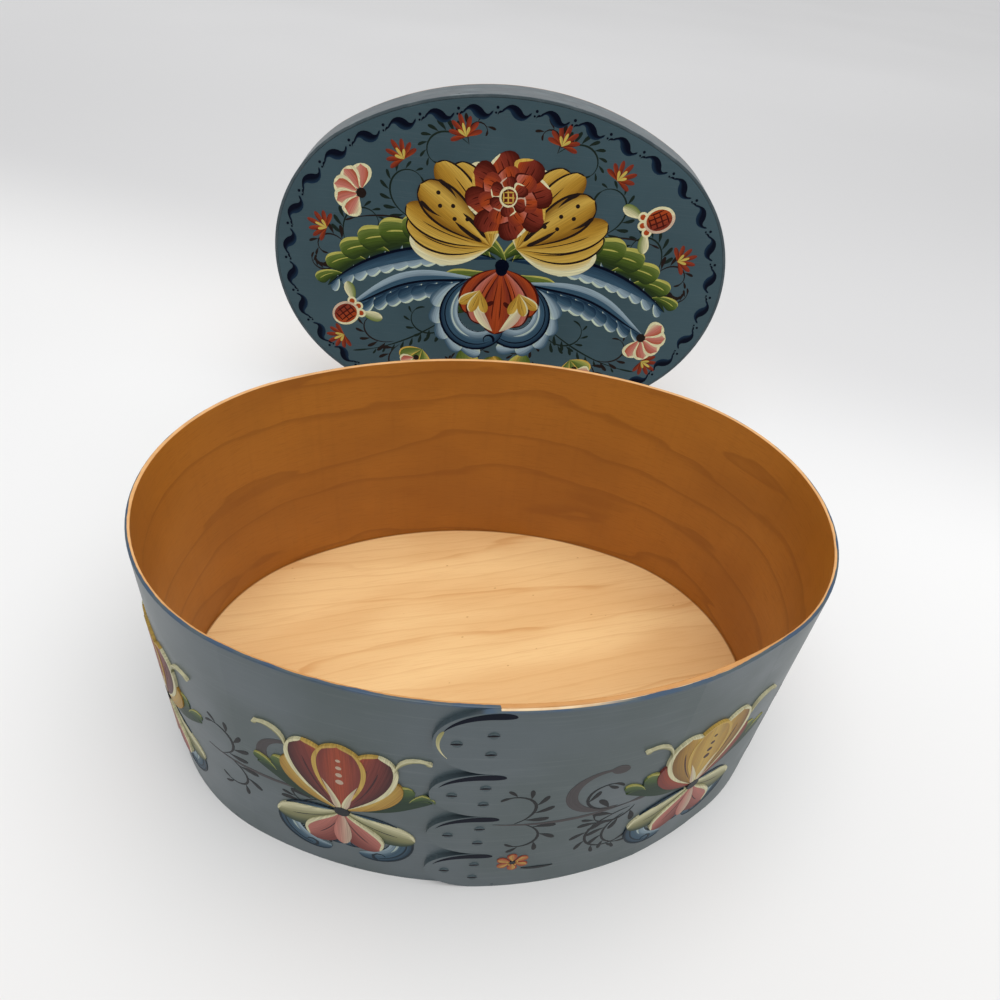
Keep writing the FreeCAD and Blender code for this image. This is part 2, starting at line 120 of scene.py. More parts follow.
class PaintBox(bpy.types.PropertyGroup):
    """Oil colours that the strokes are laid in."""

    navy: colour("Navy", "Border strokes and shadows", "#04091A")
    blue_dark: colour("Dark blue", "Shadow side of the scrolls", "#1A2F43")
    blue: colour("Blue", "Body of the scrolls", "#3A5568")
    blue_pale: colour("Pale blue", "Light side of the scrolls", "#98ABB5")
    frost: colour("Frost", "Greenish white tips", "#C3D0BC")
    green_dark: colour("Dark green", "Shadow side of the leaves", "#28361A")
    green: colour("Green", "Body of the leaves", "#4A5C22")
    green_light: colour("Light green", "Light side of the leaves", "#687639")
    lime: colour("Lime", "Yellow-green edges", "#B2AC58")
    ochre_dark: colour("Dark ochre", "Shadow side of the yellow petals", "#7C5319")
    ochre: colour("Ochre", "Yellow petals", "#AF842F")
    gold: colour("Gold", "Light side of the yellow petals", "#CBA64C")
    cream: colour("Cream", "Edges and pale petals", "#DDD6AC")
    shell: colour("Shell", "Pinkish beige inside the pale petals", "#C9AE96")
    maroon: colour("Maroon", "Darkest red", "#45150F")
    brick: colour("Brick", "Red-brown petals", "#7B3023")
    rust: colour("Rust", "Orange-red petals", "#A6451F")
    rose: colour("Rose", "Pink petals", "#BE7264")
    umber: colour("Umber", "Dark brown lines", "#241A17")
    moss: colour("Moss", "Dark green tendrils", "#1B2620")
    olive: colour("Olive", "Greyed olive of the wall's pale leaves", "#8E8A5C")
    mauve: colour("Mauve", "Grey-brown vines of the wall", "#4D4443")


class StudioSettings(bpy.types.PropertyGroup):
    """Camera, lamps and floor."""

    camera_place: FloatVectorProperty(
        name="Camera place", description="Where the lens is", subtype="TRANSLATION", size=3,
        default=(-0.038586, -0.242777, 0.325626))
    look_down: angle("Look down", "Camera pitch below the horizon", 40.203)
    look_left: angle("Turn", "Camera turn about the vertical", -9.514)
    roll: angle("Roll", "Camera roll", 6.952)
    lens: FloatProperty(name="Lens", description="Focal length on a 36 mm wide sensor",
                        default=27.70, min=1)
    floor_width: length("Floor", "Width of the pale floor", 9000)
    floor: colour("Floor", "Pale floor near the camera", "#E6E5E4")
    # Painted pool of light on the floor
    floor_bright: colour("Bright floor", "Floor where most light falls", "#EFEFEF")
    # Painted shade on the floor behind the lid and to the right, also its faint darker patches
    floor_dim: colour("Dim floor", "Floor just behind the lid", "#DADADB")
    # Also the far floor, painted paler where the lamp's light falls off
    backdrop: colour("Backdrop", "Floor and pale room far behind", "#F0F0F1")
    sky: FloatProperty(name="Sky", description="Strength of the even white light", default=0.70, min=0)
    softbox: FloatProperty(name="Softbox", description="Power of the large soft lamp in watts",
                           default=12.5, min=0)
    softbox_width: length("Softbox width", "Width of the soft lamp's round face", 1600)
    softbox_place: FloatVectorProperty(
        name="Softbox place", description="Where the soft lamp hangs", subtype="TRANSLATION", size=3,
        default=(0.12, -0.20, 1.38))


SETTINGS = {"box_shape": BoxShape, "wood_colours": WoodColours,
            "paint_box": PaintBox, "studio": StudioSettings}


def settings(name):
    """One of the groups of settings of this scene."""
    return getattr(bpy.context.scene, name)


# Ovals and surfaces

class Oval:
    """Oval of four tangent arcs, walked from the middle of its front towards +X."""

    def __init__(self, half_length, half_width):
        shoulder = settings("box_shape").shoulder
        slope = math.cos(shoulder) / (1 - math.sin(shoulder))
        self.end_radius = (slope * half_width - half_length) / (slope - 1)
        self.end_centre = half_length - self.end_radius
        self.side_radius = self.end_radius + self.end_centre / math.cos(shoulder)
        self.side_centre = self.side_radius - half_width
        self.side_run = self.side_radius * (math.pi / 2 - shoulder)
        self.quarter = self.side_run + self.end_radius * shoulder
        self.shoulder = shoulder

    def at(self, travel):
        """Point of the oval and the direction of its outward normal."""
        half, along = divmod(travel, 2 * self.quarter)
        behind = along > self.quarter
        if behind:
            along = 2 * self.quarter - along
        if along < self.side_run:
            direction = -math.pi / 2 + along / self.side_radius
            x = self.side_radius * math.cos(direction)
            y = self.side_centre + self.side_radius * math.sin(direction)
        else:
            direction = -self.shoulder + (along - self.side_run) / self.end_radius
            x = self.end_centre + self.end_radius * math.cos(direction)
            y = self.end_radius * math.sin(direction)
        if behind:
            y, direction = -y, -direction
        if half % 2:
            x, y, direction = -x, -y, direction + math.pi
        return x, y, direction


class LidFace:
    """Flat top of the standing lid: millimetres to the right and up from its middle."""

    def __init__(self):
        turn = settings("box_shape").lid_turn
        self.right = Vector((math.cos(turn), math.sin(turn), 0))
        self.up = Vector((0, 0, 1))
        self.out = self.right.cross(self.up)
        low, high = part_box("lid_board")
        middle = (low + high) / 2
        corners = [vertex.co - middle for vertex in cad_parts["lid_board"].data.vertices]
        self.centre = middle + self.out * max(corner.dot(self.out) for corner in corners)
        band = [vertex.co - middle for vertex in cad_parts["lid_band"].data.vertices]
        self.half_length = max(corner.dot(self.right) for corner in band)
        self.half_width = max(corner.z for corner in band)
        self.depth = -min(corner.dot(self.out) for corner in band) + (self.centre - middle).dot(self.out)

    def __call__(self, u, v, lift):
        return self.centre + (self.right * u + self.up * v + self.out * lift) * MM


class BoxWall:
    """Outside of the box: millimetres along the wall from the middle of its front, and up."""

    # Width of the paint's slope down beside the fingers
    brim = 2 * MM

    def __init__(self):
        self.oval = Oval(HALF_LENGTH, HALF_WIDTH)
        self.shape = settings("box_shape")
        low = (BAND_HEIGHT - self.shape.top_finger) / 3
        self.fingers = [(low * number, low * (number + 1)) for number in range(3)]
        self.fingers.append((low * 3, BAND_HEIGHT))

    def lap(self, x, z):
        """Thickness of the lap's outer layer, with a brim of paint beside its fingers."""
        shape = self.shape
        edge = -shape.lap_root
        for low, high in self.fingers:
            if low <= z <= high:
                edge -= shape.finger * math.sqrt(1 - ((2 * z - low - high) / (high - low)) ** 2)
        rise = min(1.0, max(0.0, (x - edge) / self.brim + 1))
        return STRIP * min(rise, max(0.0, (shape.lap_reach + shape.feather - x) / shape.feather))

    def __call__(self, u, v, lift):
        x, y, direction = self.oval.at(u * MM)
        out = lift * MM + (self.lap(x, v * MM) if y < 0 else 0.0)
        return Vector((x + math.cos(direction) * out, y + math.sin(direction) * out, v * MM))


# Brush work

OILS = "artists_oil_colour"     # the one material that all strokes share
SAMPLES = 48        # steps that a path is kept in
LEAST_STEPS = 6     # least and most steps that a stroke's mesh has along it
MOST_STEPS = 40
SHARP = math.radians(40)    # edges that turn more than this stay sharp
UV_SPAN = 0.1       # metres of a stroke to one unit of its brush map
UV_SHIFT = 100      # units that the bristle lines move by to a mm of lift, so that layers differ

# Lengths in mm
NIB = 0.05          # least half width of a stroke
FILM_SINK = 0.08    # how far a stroke reaches below the ground it lies on
PAINT_CELL = 1.5    # width of the cells in which the paint's height is kept

# Shares of a stroke's half width or length
EDGE_REACH = 1.05   # outer side of the edge stroke of a petal
TIP_COVER = 1.1     # what an edge stroke covers where it wraps round the tip
TIP_RUN = 1.5       # length of that wrap, to the edge stroke's own breadth
EASE_RUN = 0.16     # length over which a band widens and narrows
LEAST_BAND = 0.06   # width of a band at its ends
AT_EDGE = 0.9       # a band that reaches further out than this narrows towards the edge
VEIN = 0.035        # half the width of a vein


def comma(t):
    """Round head that tails off to a point."""
    head = min(1.0, t / 0.2)
    tail = max(0.0, (t - 0.2) / 0.8)
    return math.sqrt(max(0.0, 1 - (1 - head) ** 2)) * (1 - tail ** 1.25)


def drop(t):
    """Pointed start that swells to a round end."""
    swell = min(1.0, t / 0.68)
    cap = max(0.0, (t - 0.68) / 0.32)
    return math.sin(swell * math.pi / 2) ** 1.2 * math.sqrt(max(0.0, 1 - cap * cap))


def leaf(t):
    """Pointed at both ends."""
    return max(0.0, math.sin(math.pi * t)) ** 0.85


def hair(t):
    """Thin line that swells quickly and fades slowly."""
    return max(0.0, min(1.0, t / 0.12, (1 - t) / 0.3)) ** 0.7


def disc(t):
    """Round spot."""
    return math.sqrt(max(0.0, 1 - (2 * t - 1) ** 2))


def whip(t):
    """Line that starts fine, is boldest in its middle and ends in a small round drop."""
    line = min(1.0, t / 0.04) * (0.32 + 0.68 * math.sin(math.pi * min(1.0, t / 0.92)) ** 2)
    return line if t < 0.87 else max(line * (1 - t) / 0.13, 1.2 * disc((t - 0.87) / 0.13))


def wave_belly(t):
    """Thin hooks at both ends and a fat belly between them."""
    belly = max(0.0, math.sin(math.pi * min(1.0, max(0.0, (t - 0.16) / 0.7)))) ** 1.2
    return (0.2 + 0.8 * belly) * min(1.0, t / 0.05, (1 - t) / 0.05)


class Path:
    """Line that a brush follows, bending more towards its end where curl is above 1."""

    def __init__(self, x, y, heading, reach, bend=0.0, curl=1.0, wave=0.0, phase=0.0):
        self.reach = reach
        self.points = []
        for number in range(SAMPLES + 1):
            t = number / SAMPLES
            sway = wave * math.sin(2 * math.pi * t + math.radians(phase))
            direction = math.radians(heading + bend * t ** curl + sway)
            if number:
                middle = (direction + self.points[-1][2]) / 2
                x += math.cos(middle) * reach / SAMPLES
                y += math.sin(middle) * reach / SAMPLES
            self.points.append((x, y, direction))

    def at(self, t):
        """Point and direction at a share of the way along."""
        place = min(max(t, 0.0), 1.0) * SAMPLES
        number = min(int(place), SAMPLES - 1)
        rest = place - number
        return [a + (b - a) * rest for a, b in zip(self.points[number], self.points[number + 1])]


class FingerEdge(Path):
    """Line just inside the upper edge of a finger, from its root towards its tip."""

    def __init__(self, root, middle, finger, half, first, last):
        self.reach = 0.0
        self.points = []
        for number in range(SAMPLES + 1):
            turn = math.radians(first + (last - first) * number / SAMPLES)
            x = root - finger * math.sin(turn)
            y = middle + half * math.cos(turn)
            direction = math.pi + math.atan2(half * math.sin(turn), finger * math.cos(turn))
            if self.points:
                self.reach += math.dist(self.points[-1][:2], (x, y))
            self.points.append((x, y, direction))


def placed(name, data):
    """Object of the scene that holds a mesh, a lamp or a camera."""
    thing = bpy.data.objects.new(name, data)
    bpy.context.scene.collection.objects.link(thing)
    return thing


class Painting:
    """Strokes of one piece, each laid a little over the paint that is already under it."""

    def __init__(self, surface, first_lift, layer=0.001, step=1.6, film=None, over=None, shade_mix=0.0):
        self.surface = surface
        self.first_lift = first_lift
        self.layer, self.step, self.film = layer, step, film
        self.mesh = bmesh.new()
        self.sheet = bpy.data.meshes.new("stroke")
        self.colours = settings("paint_box")
        self.hand = random.Random(3)
        self.lifts = over.lifts if over else {}
        self.shade_mix = shade_mix
        self.ground = Vector(settings("wood_colours").side_ground)

    def place(self, x=0.0, y=0.0, turn=0.0, flip=1):
        """Spot for a motif."""
        return Place(self, x, y, turn, flip)

    def pair(self, x, y, turn, flip=1):
        """Spot for a motif, and its mirror image across the middle."""
        return self.place(x, y, turn, flip), self.place(-x, y, 180 - turn, -flip)

    def cells(self, reach, breadth):
        """Cells of a stroke's mesh along and across it, for its length and breadth in mm."""
        along = max(LEAST_STEPS, min(MOST_STEPS, math.ceil(reach / self.step)))
        return along, 2 if breadth < 3 else 4 if breadth < 10 else 8

    def mixed(self, names, side, fade, share):
        """Colour across a stroke, towards another one at its end, and towards the wall's ground by the share
        of painted shade.
        """
        tones = [Vector(getattr(self.colours, name)) for name in names]
        tone = tones[0]
        if len(tones) > 1:
            place = min(side, 0.9999) * (len(tones) - 1)
            first = int(place)
            rest = place - first
            tone = tones[first].lerp(tones[first + 1], rest * rest * (3 - 2 * rest))
        if fade:
            tone = tone.lerp(Vector(getattr(self.colours, fade)), share ** 1.5)
        return (*tone.lerp(self.ground, self.shade_mix), 1.0)

    def rest(self, points):
        """Lift just over the highest paint at or beside any of these points."""
        cells = {(round(x / PAINT_CELL), round(y / PAINT_CELL)) for x, y in points}
        beside = {(x + i, y + j) for x, y in cells for i in (-1, 0, 1) for j in (-1, 0, 1)}
        lift = max(self.lifts.get(cell, self.first_lift) for cell in beside) + self.layer
        self.lifts.update(dict.fromkeys(cells, lift))
        return lift

    def lay(self, path, width, shape, colours, band=(-1, 1), span=(0, 1), fade=None):
        """Lay one stroke, or the band of a stroke between two shares of its half width.

        A band narrows at its ends, but one that runs to the stroke's end wraps round its tip.
        """
        low, high = band
        reach = path.reach * (span[1] - span[0])
        breadth = width * (high - low) / 2
        stroke = bmesh.new()
        paint = stroke.verts.layers.float_color.new("paint")
        brush = stroke.loops.layers.uv.new("brush")
        cells_along, cells_across = self.cells(reach, breadth)
        bmesh.ops.create_grid(stroke, x_segments=cells_along, y_segments=cells_across, size=1)
        stroke.verts.index_update()
        anchor = high if high > AT_EDGE else low if low < -AT_EDGE else (low + high) / 2
        wraps = band != (-1, 1) and span[1] == 1
        points, brushed = [], []
        for vert in stroke.verts:
            inner = (1 - math.cos(math.pi * (vert.co.x + 1) / 2)) / 2
            side = (vert.co.y + 1) / 2
            share = span[0] + (span[1] - span[0]) * inner
            x, y, direction = path.at(share)
            half = max(shape(share) * width / 2, NIB)
            across = low + (high - low) * side
            if band != (-1, 1):
                to_end = 1.0 if wraps else (1 - inner) / EASE_RUN
                ease = max(LEAST_BAND, min(1.0, inner / EASE_RUN, to_end)) ** 0.7
                if wraps:
                    tip = max(0.0, 1 - (1 - share) * reach / (TIP_RUN * breadth))
                    ease += (TIP_COVER / (high - low) - 1) * tip
                across = anchor + (across - anchor) * ease
            offset = across * half
            points.append((x - math.sin(direction) * offset, y + math.cos(direction) * offset))
            brushed.append((share * path.reach, offset))
            vert[paint] = self.mixed(colours, side, fade, share)
        lift = self.rest(points)
        for vert, (x, y) in zip(stroke.verts, points):
            vert.co = self.surface(x, y, lift)
        faces = stroke.faces[:]
        for face in faces:
            face.smooth = True
            for loop in face.loops:
                along, offset = brushed[loop.vert.index]
                loop[brush].uv = along * MM / UV_SPAN, offset * MM / UV_SPAN + lift * UV_SHIFT
        film = self.film or lift + FILM_SINK
        stroke.normal_update()
        bmesh.ops.solidify(stroke, geom=faces, thickness=film * MM)
        for edge in stroke.edges:
            edge.smooth = edge.calc_face_angle(0) < SHARP
        stroke.to_mesh(self.sheet)
        stroke.free()
        self.mesh.from_mesh(self.sheet)

    def finish(self, name, body, slot):
        """Make the strokes a piece of the object."""
        mesh = bpy.data.meshes.new(name)
        self.mesh.to_mesh(mesh)
        self.mesh.free()
        bpy.data.meshes.remove(self.sheet)
        mesh.materials.append(bpy.data.materials.get(OILS) or stroke_material())
        piece = placed(name, mesh)
        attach(piece, body)


class Place:
    """Spot of a painting that a motif is drawn from: turned and perhaps mirrored."""

    def __init__(self, painting, x, y, turn, flip):
        self.painting = painting
        self.x, self.y, self.turn, self.flip = x, y, turn, flip

    def to(self, x, y):
        """Point of the surface from a point of the motif."""
        a = math.radians(self.turn)
        y *= self.flip
        return self.x + x * math.cos(a) - y * math.sin(a), self.y + x * math.sin(a) + y * math.cos(a)

    def inner(self, x, y, turn=0.0, flip=1):
        """Place within this place."""
        return Place(self.painting, *self.to(x, y), self.turn + self.flip * turn, self.flip * flip)

    def on(self, path, share):
        """Place on a path, facing along it."""
        x, y, direction = path.at(share)
        return Place(self.painting, x, y, math.degrees(direction), self.flip)

    def path(self, x, y, heading, reach, bend=0.0, curl=1.0, wave=0.0, phase=0.0):
        """Path on the surface from a path of the motif, with a hand's small unevenness."""
        hand = self.painting.hand
        return Path(*self.to(x, y), self.turn + self.flip * heading + hand.uniform(-1.5, 1.5),
                    reach * hand.uniform(0.97, 1.03),
                    self.flip * bend * hand.uniform(0.95, 1.05), curl, self.flip * wave, phase)

    def lay(self, path, width, shape, colours, band=(-1, 1), span=(0, 1), fade=None):
        """Lay a stroke, with its colours named from the left of the motif's own stroke."""
        if self.flip < 0:
            band = (-band[1], -band[0])
            colours = colours[::-1]
        self.painting.lay(path, width, shape, colours[::-1], band, span, fade)

    def stroke(self, x, y, heading, reach, width, colours, bend=0.0, curl=1.0, shape=comma, fade=None):
        """Lay a plain stroke and return its path."""
        path = self.path(x, y, heading, reach, bend, curl)
        self.lay(path, width, shape, colours, fade=fade)
        return path

    def petal(self, x, y, heading, reach, width, colours, bend=0.0, shape=drop,
              left=None, right=None, edge=0.3, veins=(), vein="umber"):
        """Lay a broad stroke with a finer one along either edge and hair lines down its middle."""
        path = self.stroke(x, y, heading, reach, width, colours, bend, shape=shape)
        for place in veins:
            self.lay(path, width, shape, (vein,), (place - VEIN, place + VEIN), (0.18, 0.78))
        if left:
            self.lay(path, width, shape, (left,), (1 - edge, EDGE_REACH), (0.03, 1))
        if right:
            self.lay(path, width, shape, (right,), (-EDGE_REACH, edge - 1), (0.03, 1))
        return path

    def dot(self, x, y, width, tone):
        """Touch the tip of the brush down."""
        self.stroke(x - width / 2, y, 0, width, width, (tone,), shape=disc)


# Motifs

REDS = ("rust", "brick", "maroon")
GOLDS = ("gold", "ochre", "ochre_dark")
GREENS = ("green_dark", "green", "green_light")


def around(turn, out):
    """Point that lies out from the middle, at a turn in degrees."""
    return out * math.cos(math.radians(turn)), out * math.sin(math.radians(turn))


def spaced(first, last, count):
    """Evenly spaced shares from the first to the last."""
    return [first + (last - first) * number / max(1, count - 1) for number in range(count)]


def tendril(place, reach, bend, leaflets=0, side=1, tone="umber", width=1.1, curl=1.6):
    """Curled line that ends in a small drop, with a row of teardrop leaflets along one side."""
    path = place.path(0, 0, 0, reach, bend, curl)
    place.lay(path, width, whip, (tone,))
    for number, share in enumerate(spaced(0.14, 0.8, leaflets)):
        grow = 9.0 * (1 - 0.5 * number / leaflets)
        place.on(path, share).stroke(0, side * width * 0.3, side * 58, grow, grow * 0.29, (tone,),
                                     -side * 26, shape=drop)


def fan(place, count, spread, reach, width, colours, tip=None):
    """Small sprig of drops that open like a fan."""
    for number in range(count):
        turn = spread * (number / (count - 1) - 0.5)
        grow = reach * (1 - 0.5 * abs(turn) / spread)
        place.stroke(0, 0, turn, grow, width, colours, turn * 0.3, shape=drop, fade=tip)


def scroll(place, reach, bend, width, curl, commas=0):
    """Blue scroll: a body that lightens to its inner side, pale streaks, dark lines, a curled end."""
    body = place.path(0, 0, 0, reach, bend, curl)
    for share in spaced(0.75, 0.3, commas + 1)[:-1]:
        grow = width * (1.25 + 0.5 * leaf(share))
        place.on(body, share).stroke(width * 0.45, -width * 0.62, 176, grow, grow * 0.42,
                                     ("blue", "blue_pale", "frost"), -44)
    for tones, band, span in ((("blue_pale", "blue", "blue_dark"), (-1, 1), (0, 1)),
                              (("blue_pale",), (0.66, 0.93), (0.1, 0.8)),
                              (("frost", "blue_pale"), (0.2, 0.4), (0.2, 0.72)),
                              (("navy",), (-0.46, -0.34), (0.1, 0.86)),
                              (("navy",), (-1, -0.8), (0.05, 0.98)),
                              (("navy",), (0.93, 1), (0.3, 0.9))):
        place.lay(body, width, drop, tones, band, span)
    place.on(body, 0.86).stroke(width * 0.1, -width * 0.28, 30, width * 1.1, width * 0.13,
                                ("navy",), 250)


def lobes(place, rib, count, first, last, width, colours, edge, side=1, vein=None):
    """Round lobes that hang back from one side of a leaf's rib, from its tip to its base."""
    for share in spaced(last, first, count):
        spot = place.on(rib, share)
        if side < 0:
            spot.flip = -spot.flip
        grow = width * (0.62 + 0.62 * leaf(min(1, share * 1.02)))
        path = spot.petal(grow * 0.3, grow * 0.5, 176, grow * 1.5, grow * 0.66, colours, 56,
                          shape=comma, right=edge, edge=0.26)
        if vein:
            spot.lay(path, grow * 0.66, comma, (vein,), (-0.1, 0.02), (0.12, 0.7))


def acanthus(place, reach, bend, count, width, frost):
    """Long leaf: green lobes with lime edges on its left, a blue shadow and pale scallops on its right."""
    rib = place.path(0, 0, 0, reach, bend)
    place.lay(rib, width * 1.1, leaf, ("green_dark", "green_dark", "blue_dark", "blue_dark"))
    lobes(place, rib, frost, 0.3, 0.98, width * 0.62, ("blue", "blue_pale"), "frost", -1)
    place.lay(rib, width * 0.9, leaf, ("blue_dark", "blue"), (-0.85, 0.1), (0.05, 0.97))
    lobes(place, rib, count, 0.1, 0.99, width, GREENS, "lime", 1, "lime")
    place.lay(rib, 1.8, hair, ("navy",))


def small_flower(place, petals, reach, colours, edge="cream", spread=360):
    """Open flower of plump drops round a dark heart."""
    for number in range(petals):
        turn = spread * ((number + 0.5) / petals - 0.5)
        place.petal(*around(turn, reach * 0.14), turn, reach,
                    reach * 0.8 * (1 if spread < 360 else 5 / petals), colours, 14,
                    left=edge, right=edge if spread < 360 else None, edge=0.3)
    place.dot(0, 0, reach * 0.42, "umber")
    if spread == 360:
        for number in range(5):
            place.dot(*around(72 * number + 20, reach * 0.34), reach * 0.11, "gold")


def hatch(place, width, height, lines, tone, thickness):
    """Crossed lines over an oval heart."""
    for number in range(lines):
        offset = (number + 0.5) / lines * 2 - 1
        chord = math.sqrt(1 - offset * offset)
        place.stroke(offset * width / 2, -chord * height * 0.46, 90, chord * height * 0.92, thickness,
                     (tone,), 12, shape=hair)
        place.stroke(-chord * width * 0.46, offset * height / 2, 0, chord * width * 0.92, thickness,
                     (tone,), 12, shape=hair)


def rose(place, radius):
    """Round red rose: three rings of overlapping petals with pale rims and a hatched heart."""
    rings = ((8, 0.30, 0.72, 0.74, REDS, ("cream", "gold"), 0.2),
             (7, 0.16, 0.54, 0.56, ("rose", "rust", "brick"), ("maroon", "maroon"), 0.14),
             (6, 0.10, 0.36, 0.40, REDS, ("shell", "cream"), 0.24))
    for count, out, reach, width, tones, rims, rim in rings:
        for number in range(count):
            turn = 360 * number / count + 40 * out
            place.petal(*around(turn, radius * out), turn - 10, radius * reach, radius * width,
                        tones, 34, left=rims[number % 2], edge=rim, veins=(-0.25, 0.15), vein="maroon")
    place.stroke(-radius * 0.24, 0, 0, radius * 0.48, radius * 0.44, ("cream",), shape=disc)
    place.stroke(-radius * 0.19, 0, 0, radius * 0.38, radius * 0.36, ("maroon", "brick"), shape=disc)
    hatch(place, radius * 0.36, radius * 0.34, 3, "gold", radius * 0.035)


def tulip(place, reach, colours, edge, dark):
    """Open tulip: flaring side petals and a tall middle one with dots up its throat."""
    for side in (1, -1):
        half = place.inner(0, 0, 0, side)
        half.petal(0, 0, 66, reach * 0.98, reach * 0.36, (edge,) + colours[:2], -64,
                   left=edge, edge=0.34, veins=(0.0,), vein=dark)
    for side in (1, -1):
        half = place.inner(0, 0, 0, side)
        for turn, long, wide, bend, vein in ((46, 1.06, 0.38, -44, 0.35), (26, 1.10, 0.36, -20, 0.3)):
            half.petal(0, 0, turn, reach * long, reach * wide, colours, bend,
                       left=dark, edge=0.09, veins=(vein,), vein=dark)
    place.petal(0, 0, 0, reach * 1.04, reach * 0.44, colours[-1:] + colours[:2] + colours[-1:],
                left=dark, right=dark, edge=0.08)
    for number in range(5):
        place.dot(reach * (0.42 + 0.11 * number), reach * 0.05 * (-1) ** number, reach * 0.05, dark)
    for side in (1, -1):
        place.stroke(reach * 0.12, side * reach * 0.03, side * 14, reach * 0.4, reach * 0.045, (dark,),
                     -side * 18, shape=hair)
        place.stroke(reach * 0.95, side * reach * 0.16, 180 - side * 12, reach * 0.3, reach * 0.05,
                     (dark,), side * 30)


def bell(place, reach):
    """Hanging bell flower of red-brown strokes with a pale turned lip."""
    for turn, tones in ((58, REDS), (-58, REDS[::-1]),
                        (34, ("rose", "rust", "brick")), (-34, ("brick", "rust", "rose")),
                        (0, ("brick", "rust", "brick"))):
        place.petal(0, 0, turn, reach * (1.04 - 0.03 * abs(turn) / 10), reach * 0.46, tones, -turn * 1.1,
                    left="maroon" if turn >= 0 else None,
                    right="maroon" if turn <= 0 else None, edge=0.1, veins=(0.2, -0.3), vein="maroon")
    for side in (1, -1):
        place.stroke(reach * 0.98, side * reach * 0.05, side * 128, reach * 0.62, reach * 0.15,
                     ("cream", "shell"), side * 50, shape=leaf)
        place.stroke(reach * 0.5, side * reach * 0.08, side * 30, reach * 0.3, reach * 0.07,
                     ("maroon",), side * 120)
    place.dot(reach * 0.02, 0, reach * 0.17, "navy")


def hatched_bud(place, size):
    """Round bud with a pale rim, crossed lines and three small bumps at its foot."""
    for side in (-1, 0, 1):
        for width, tone in ((0.42, "cream"), (0.24, "rust")):
            place.dot(size * (0.1 * abs(side) - 0.52), side * size * 0.34, size * width, tone)
    place.stroke(-size * 0.46, 0, 0, size * 1.28, size * 1.1, ("cream", "shell"), shape=disc)
    spot = place.inner(size * 0.18, 0)
    spot.stroke(-size * 0.53, 0, 0, size * 1.06, size * 0.88, ("rust", "brick"), shape=disc)
    hatch(spot, size * 1.0, size * 0.82, 4, "maroon", size * 0.06)


# Materials

def add(tree, kind, inputs=(), stops=(), **properties):
    """Add a node, set its properties and its ramp, fill or link its inputs, and give its outputs."""
    node = tree.nodes.new("ShaderNode" + kind)
    for name, value in properties.items():
        setattr(node, name, value)
    for number, (position, tone) in enumerate(stops):
        elements = node.color_ramp.elements
        element = elements[number] if number < 2 else elements.new(position)
        element.position = position
        element.color = (tone, tone, tone, 1)
    for name, value in dict(inputs).items():
        socket = node.inputs[name]
        if isinstance(value, bpy.types.NodeSocket):
            tree.links.new(value, socket)
        else:
            socket.default_value = value
    return node.outputs


def empty_material(name):
    """Material and its empty tree."""
    material = bpy.data.materials.new(name)
    material.use_nodes = True
    material.node_tree.nodes.clear()
    return material, material.node_tree


def coat(tree, tone, roughness, gloss, relief=None, strength=0.0, depth=0.0):
    """End a tree: colour, roughness, level of gloss, and the bumps of a relief of a depth in mm."""
    inputs = {"Base Color": tone, "Roughness": roughness, "Specular IOR Level": gloss}
    if relief:
        inputs["Normal"] = add(tree, "Bump", {
            "Height": relief, "Strength": strength, "Distance": depth * MM})[0]
    shader = add(tree, "BsdfPrincipled", inputs)
    add(tree, "OutputMaterial", {"Surface": shader["BSDF"]})


def where(tree, *shares):
    """Product of shares of a surface, each a socket or a value that passes smoothly from low to high.

    Such a value's share goes from 0 to 1 on the way, or from and to what is given after its high.
    """
    product = None
    for share in shares:
        if isinstance(share, tuple):
            value, low, high, *ends = share
            first, last = ends or (0.0, 1.0)
            share = add(tree, "MapRange", {
                "Value": value, "From Min": low, "From Max": high, "To Min": first, "To Max": last},
                interpolation_type="SMOOTHSTEP")["Result"]
        if product:
            share = add(tree, "Math", {0: product, 1: share}, operation="MULTIPLY")[0]
        product = share
    return product


def tinted(tree, tone, *tints):
    """Colour with others laid over it in turn, each with its share of the surface before it."""
    for share, tint in tints:
        under, over = [part if isinstance(part, bpy.types.NodeSocket) else (*part, 1)
                       for part in (tone, tint)]
        tone = add(tree, "Mix", {0: share, 6: under, 7: over}, data_type="RGBA")[2]
    return tone


def shifted(tree, value, *shifts):
    """Value with patterns added to it, each with its weight after it."""
    for pattern, weight in shifts:
        value = add(tree, "Math", {0: pattern, 1: weight, 2: value},
                    operation="MULTIPLY_ADD")[0]
    return value


def mottle(tree, place, sizes, detail, roughness=0.5):
    """Soft uneven pattern whose patches have a real size each way, in mm."""
    scaled = add(tree, "Mapping", {
        "Vector": place, "Scale": [1 / (size * MM) for size in sizes]})[0]
    return add(tree, "TexNoise", {
        "Vector": scaled, "Scale": 1.0, "Detail": detail, "Roughness": roughness})[0]


def grain(tree, place, across, spacing, waver, span):
    """Growth rings cut lengthwise: a slow darkening to a sharp late line, wavering along the board.

    The share is 0 in early wood and 1 in late wood. The rings drift over the span of the wood, in mm.
    """
    drift = mottle(tree, place, span, 2.0, 0.45)
    ripple = mottle(tree, place, [size / 6 for size in span], 1.0)
    rings = add(tree, "Math", {0: across, 1: spacing * MM}, operation="DIVIDE")[0]
    rings = shifted(tree, rings, (drift, waver), (ripple, 0.28))
    ring = add(tree, "Math", {0: rings}, operation="FRACT")[0]
    return add(tree, "ValToRGB", {0: ring}, stops=(
        (0.0, 0.0), (0.35, 0.06), (0.8, 0.34), (0.95, 1.0), (1.0, 0.0)))[0]


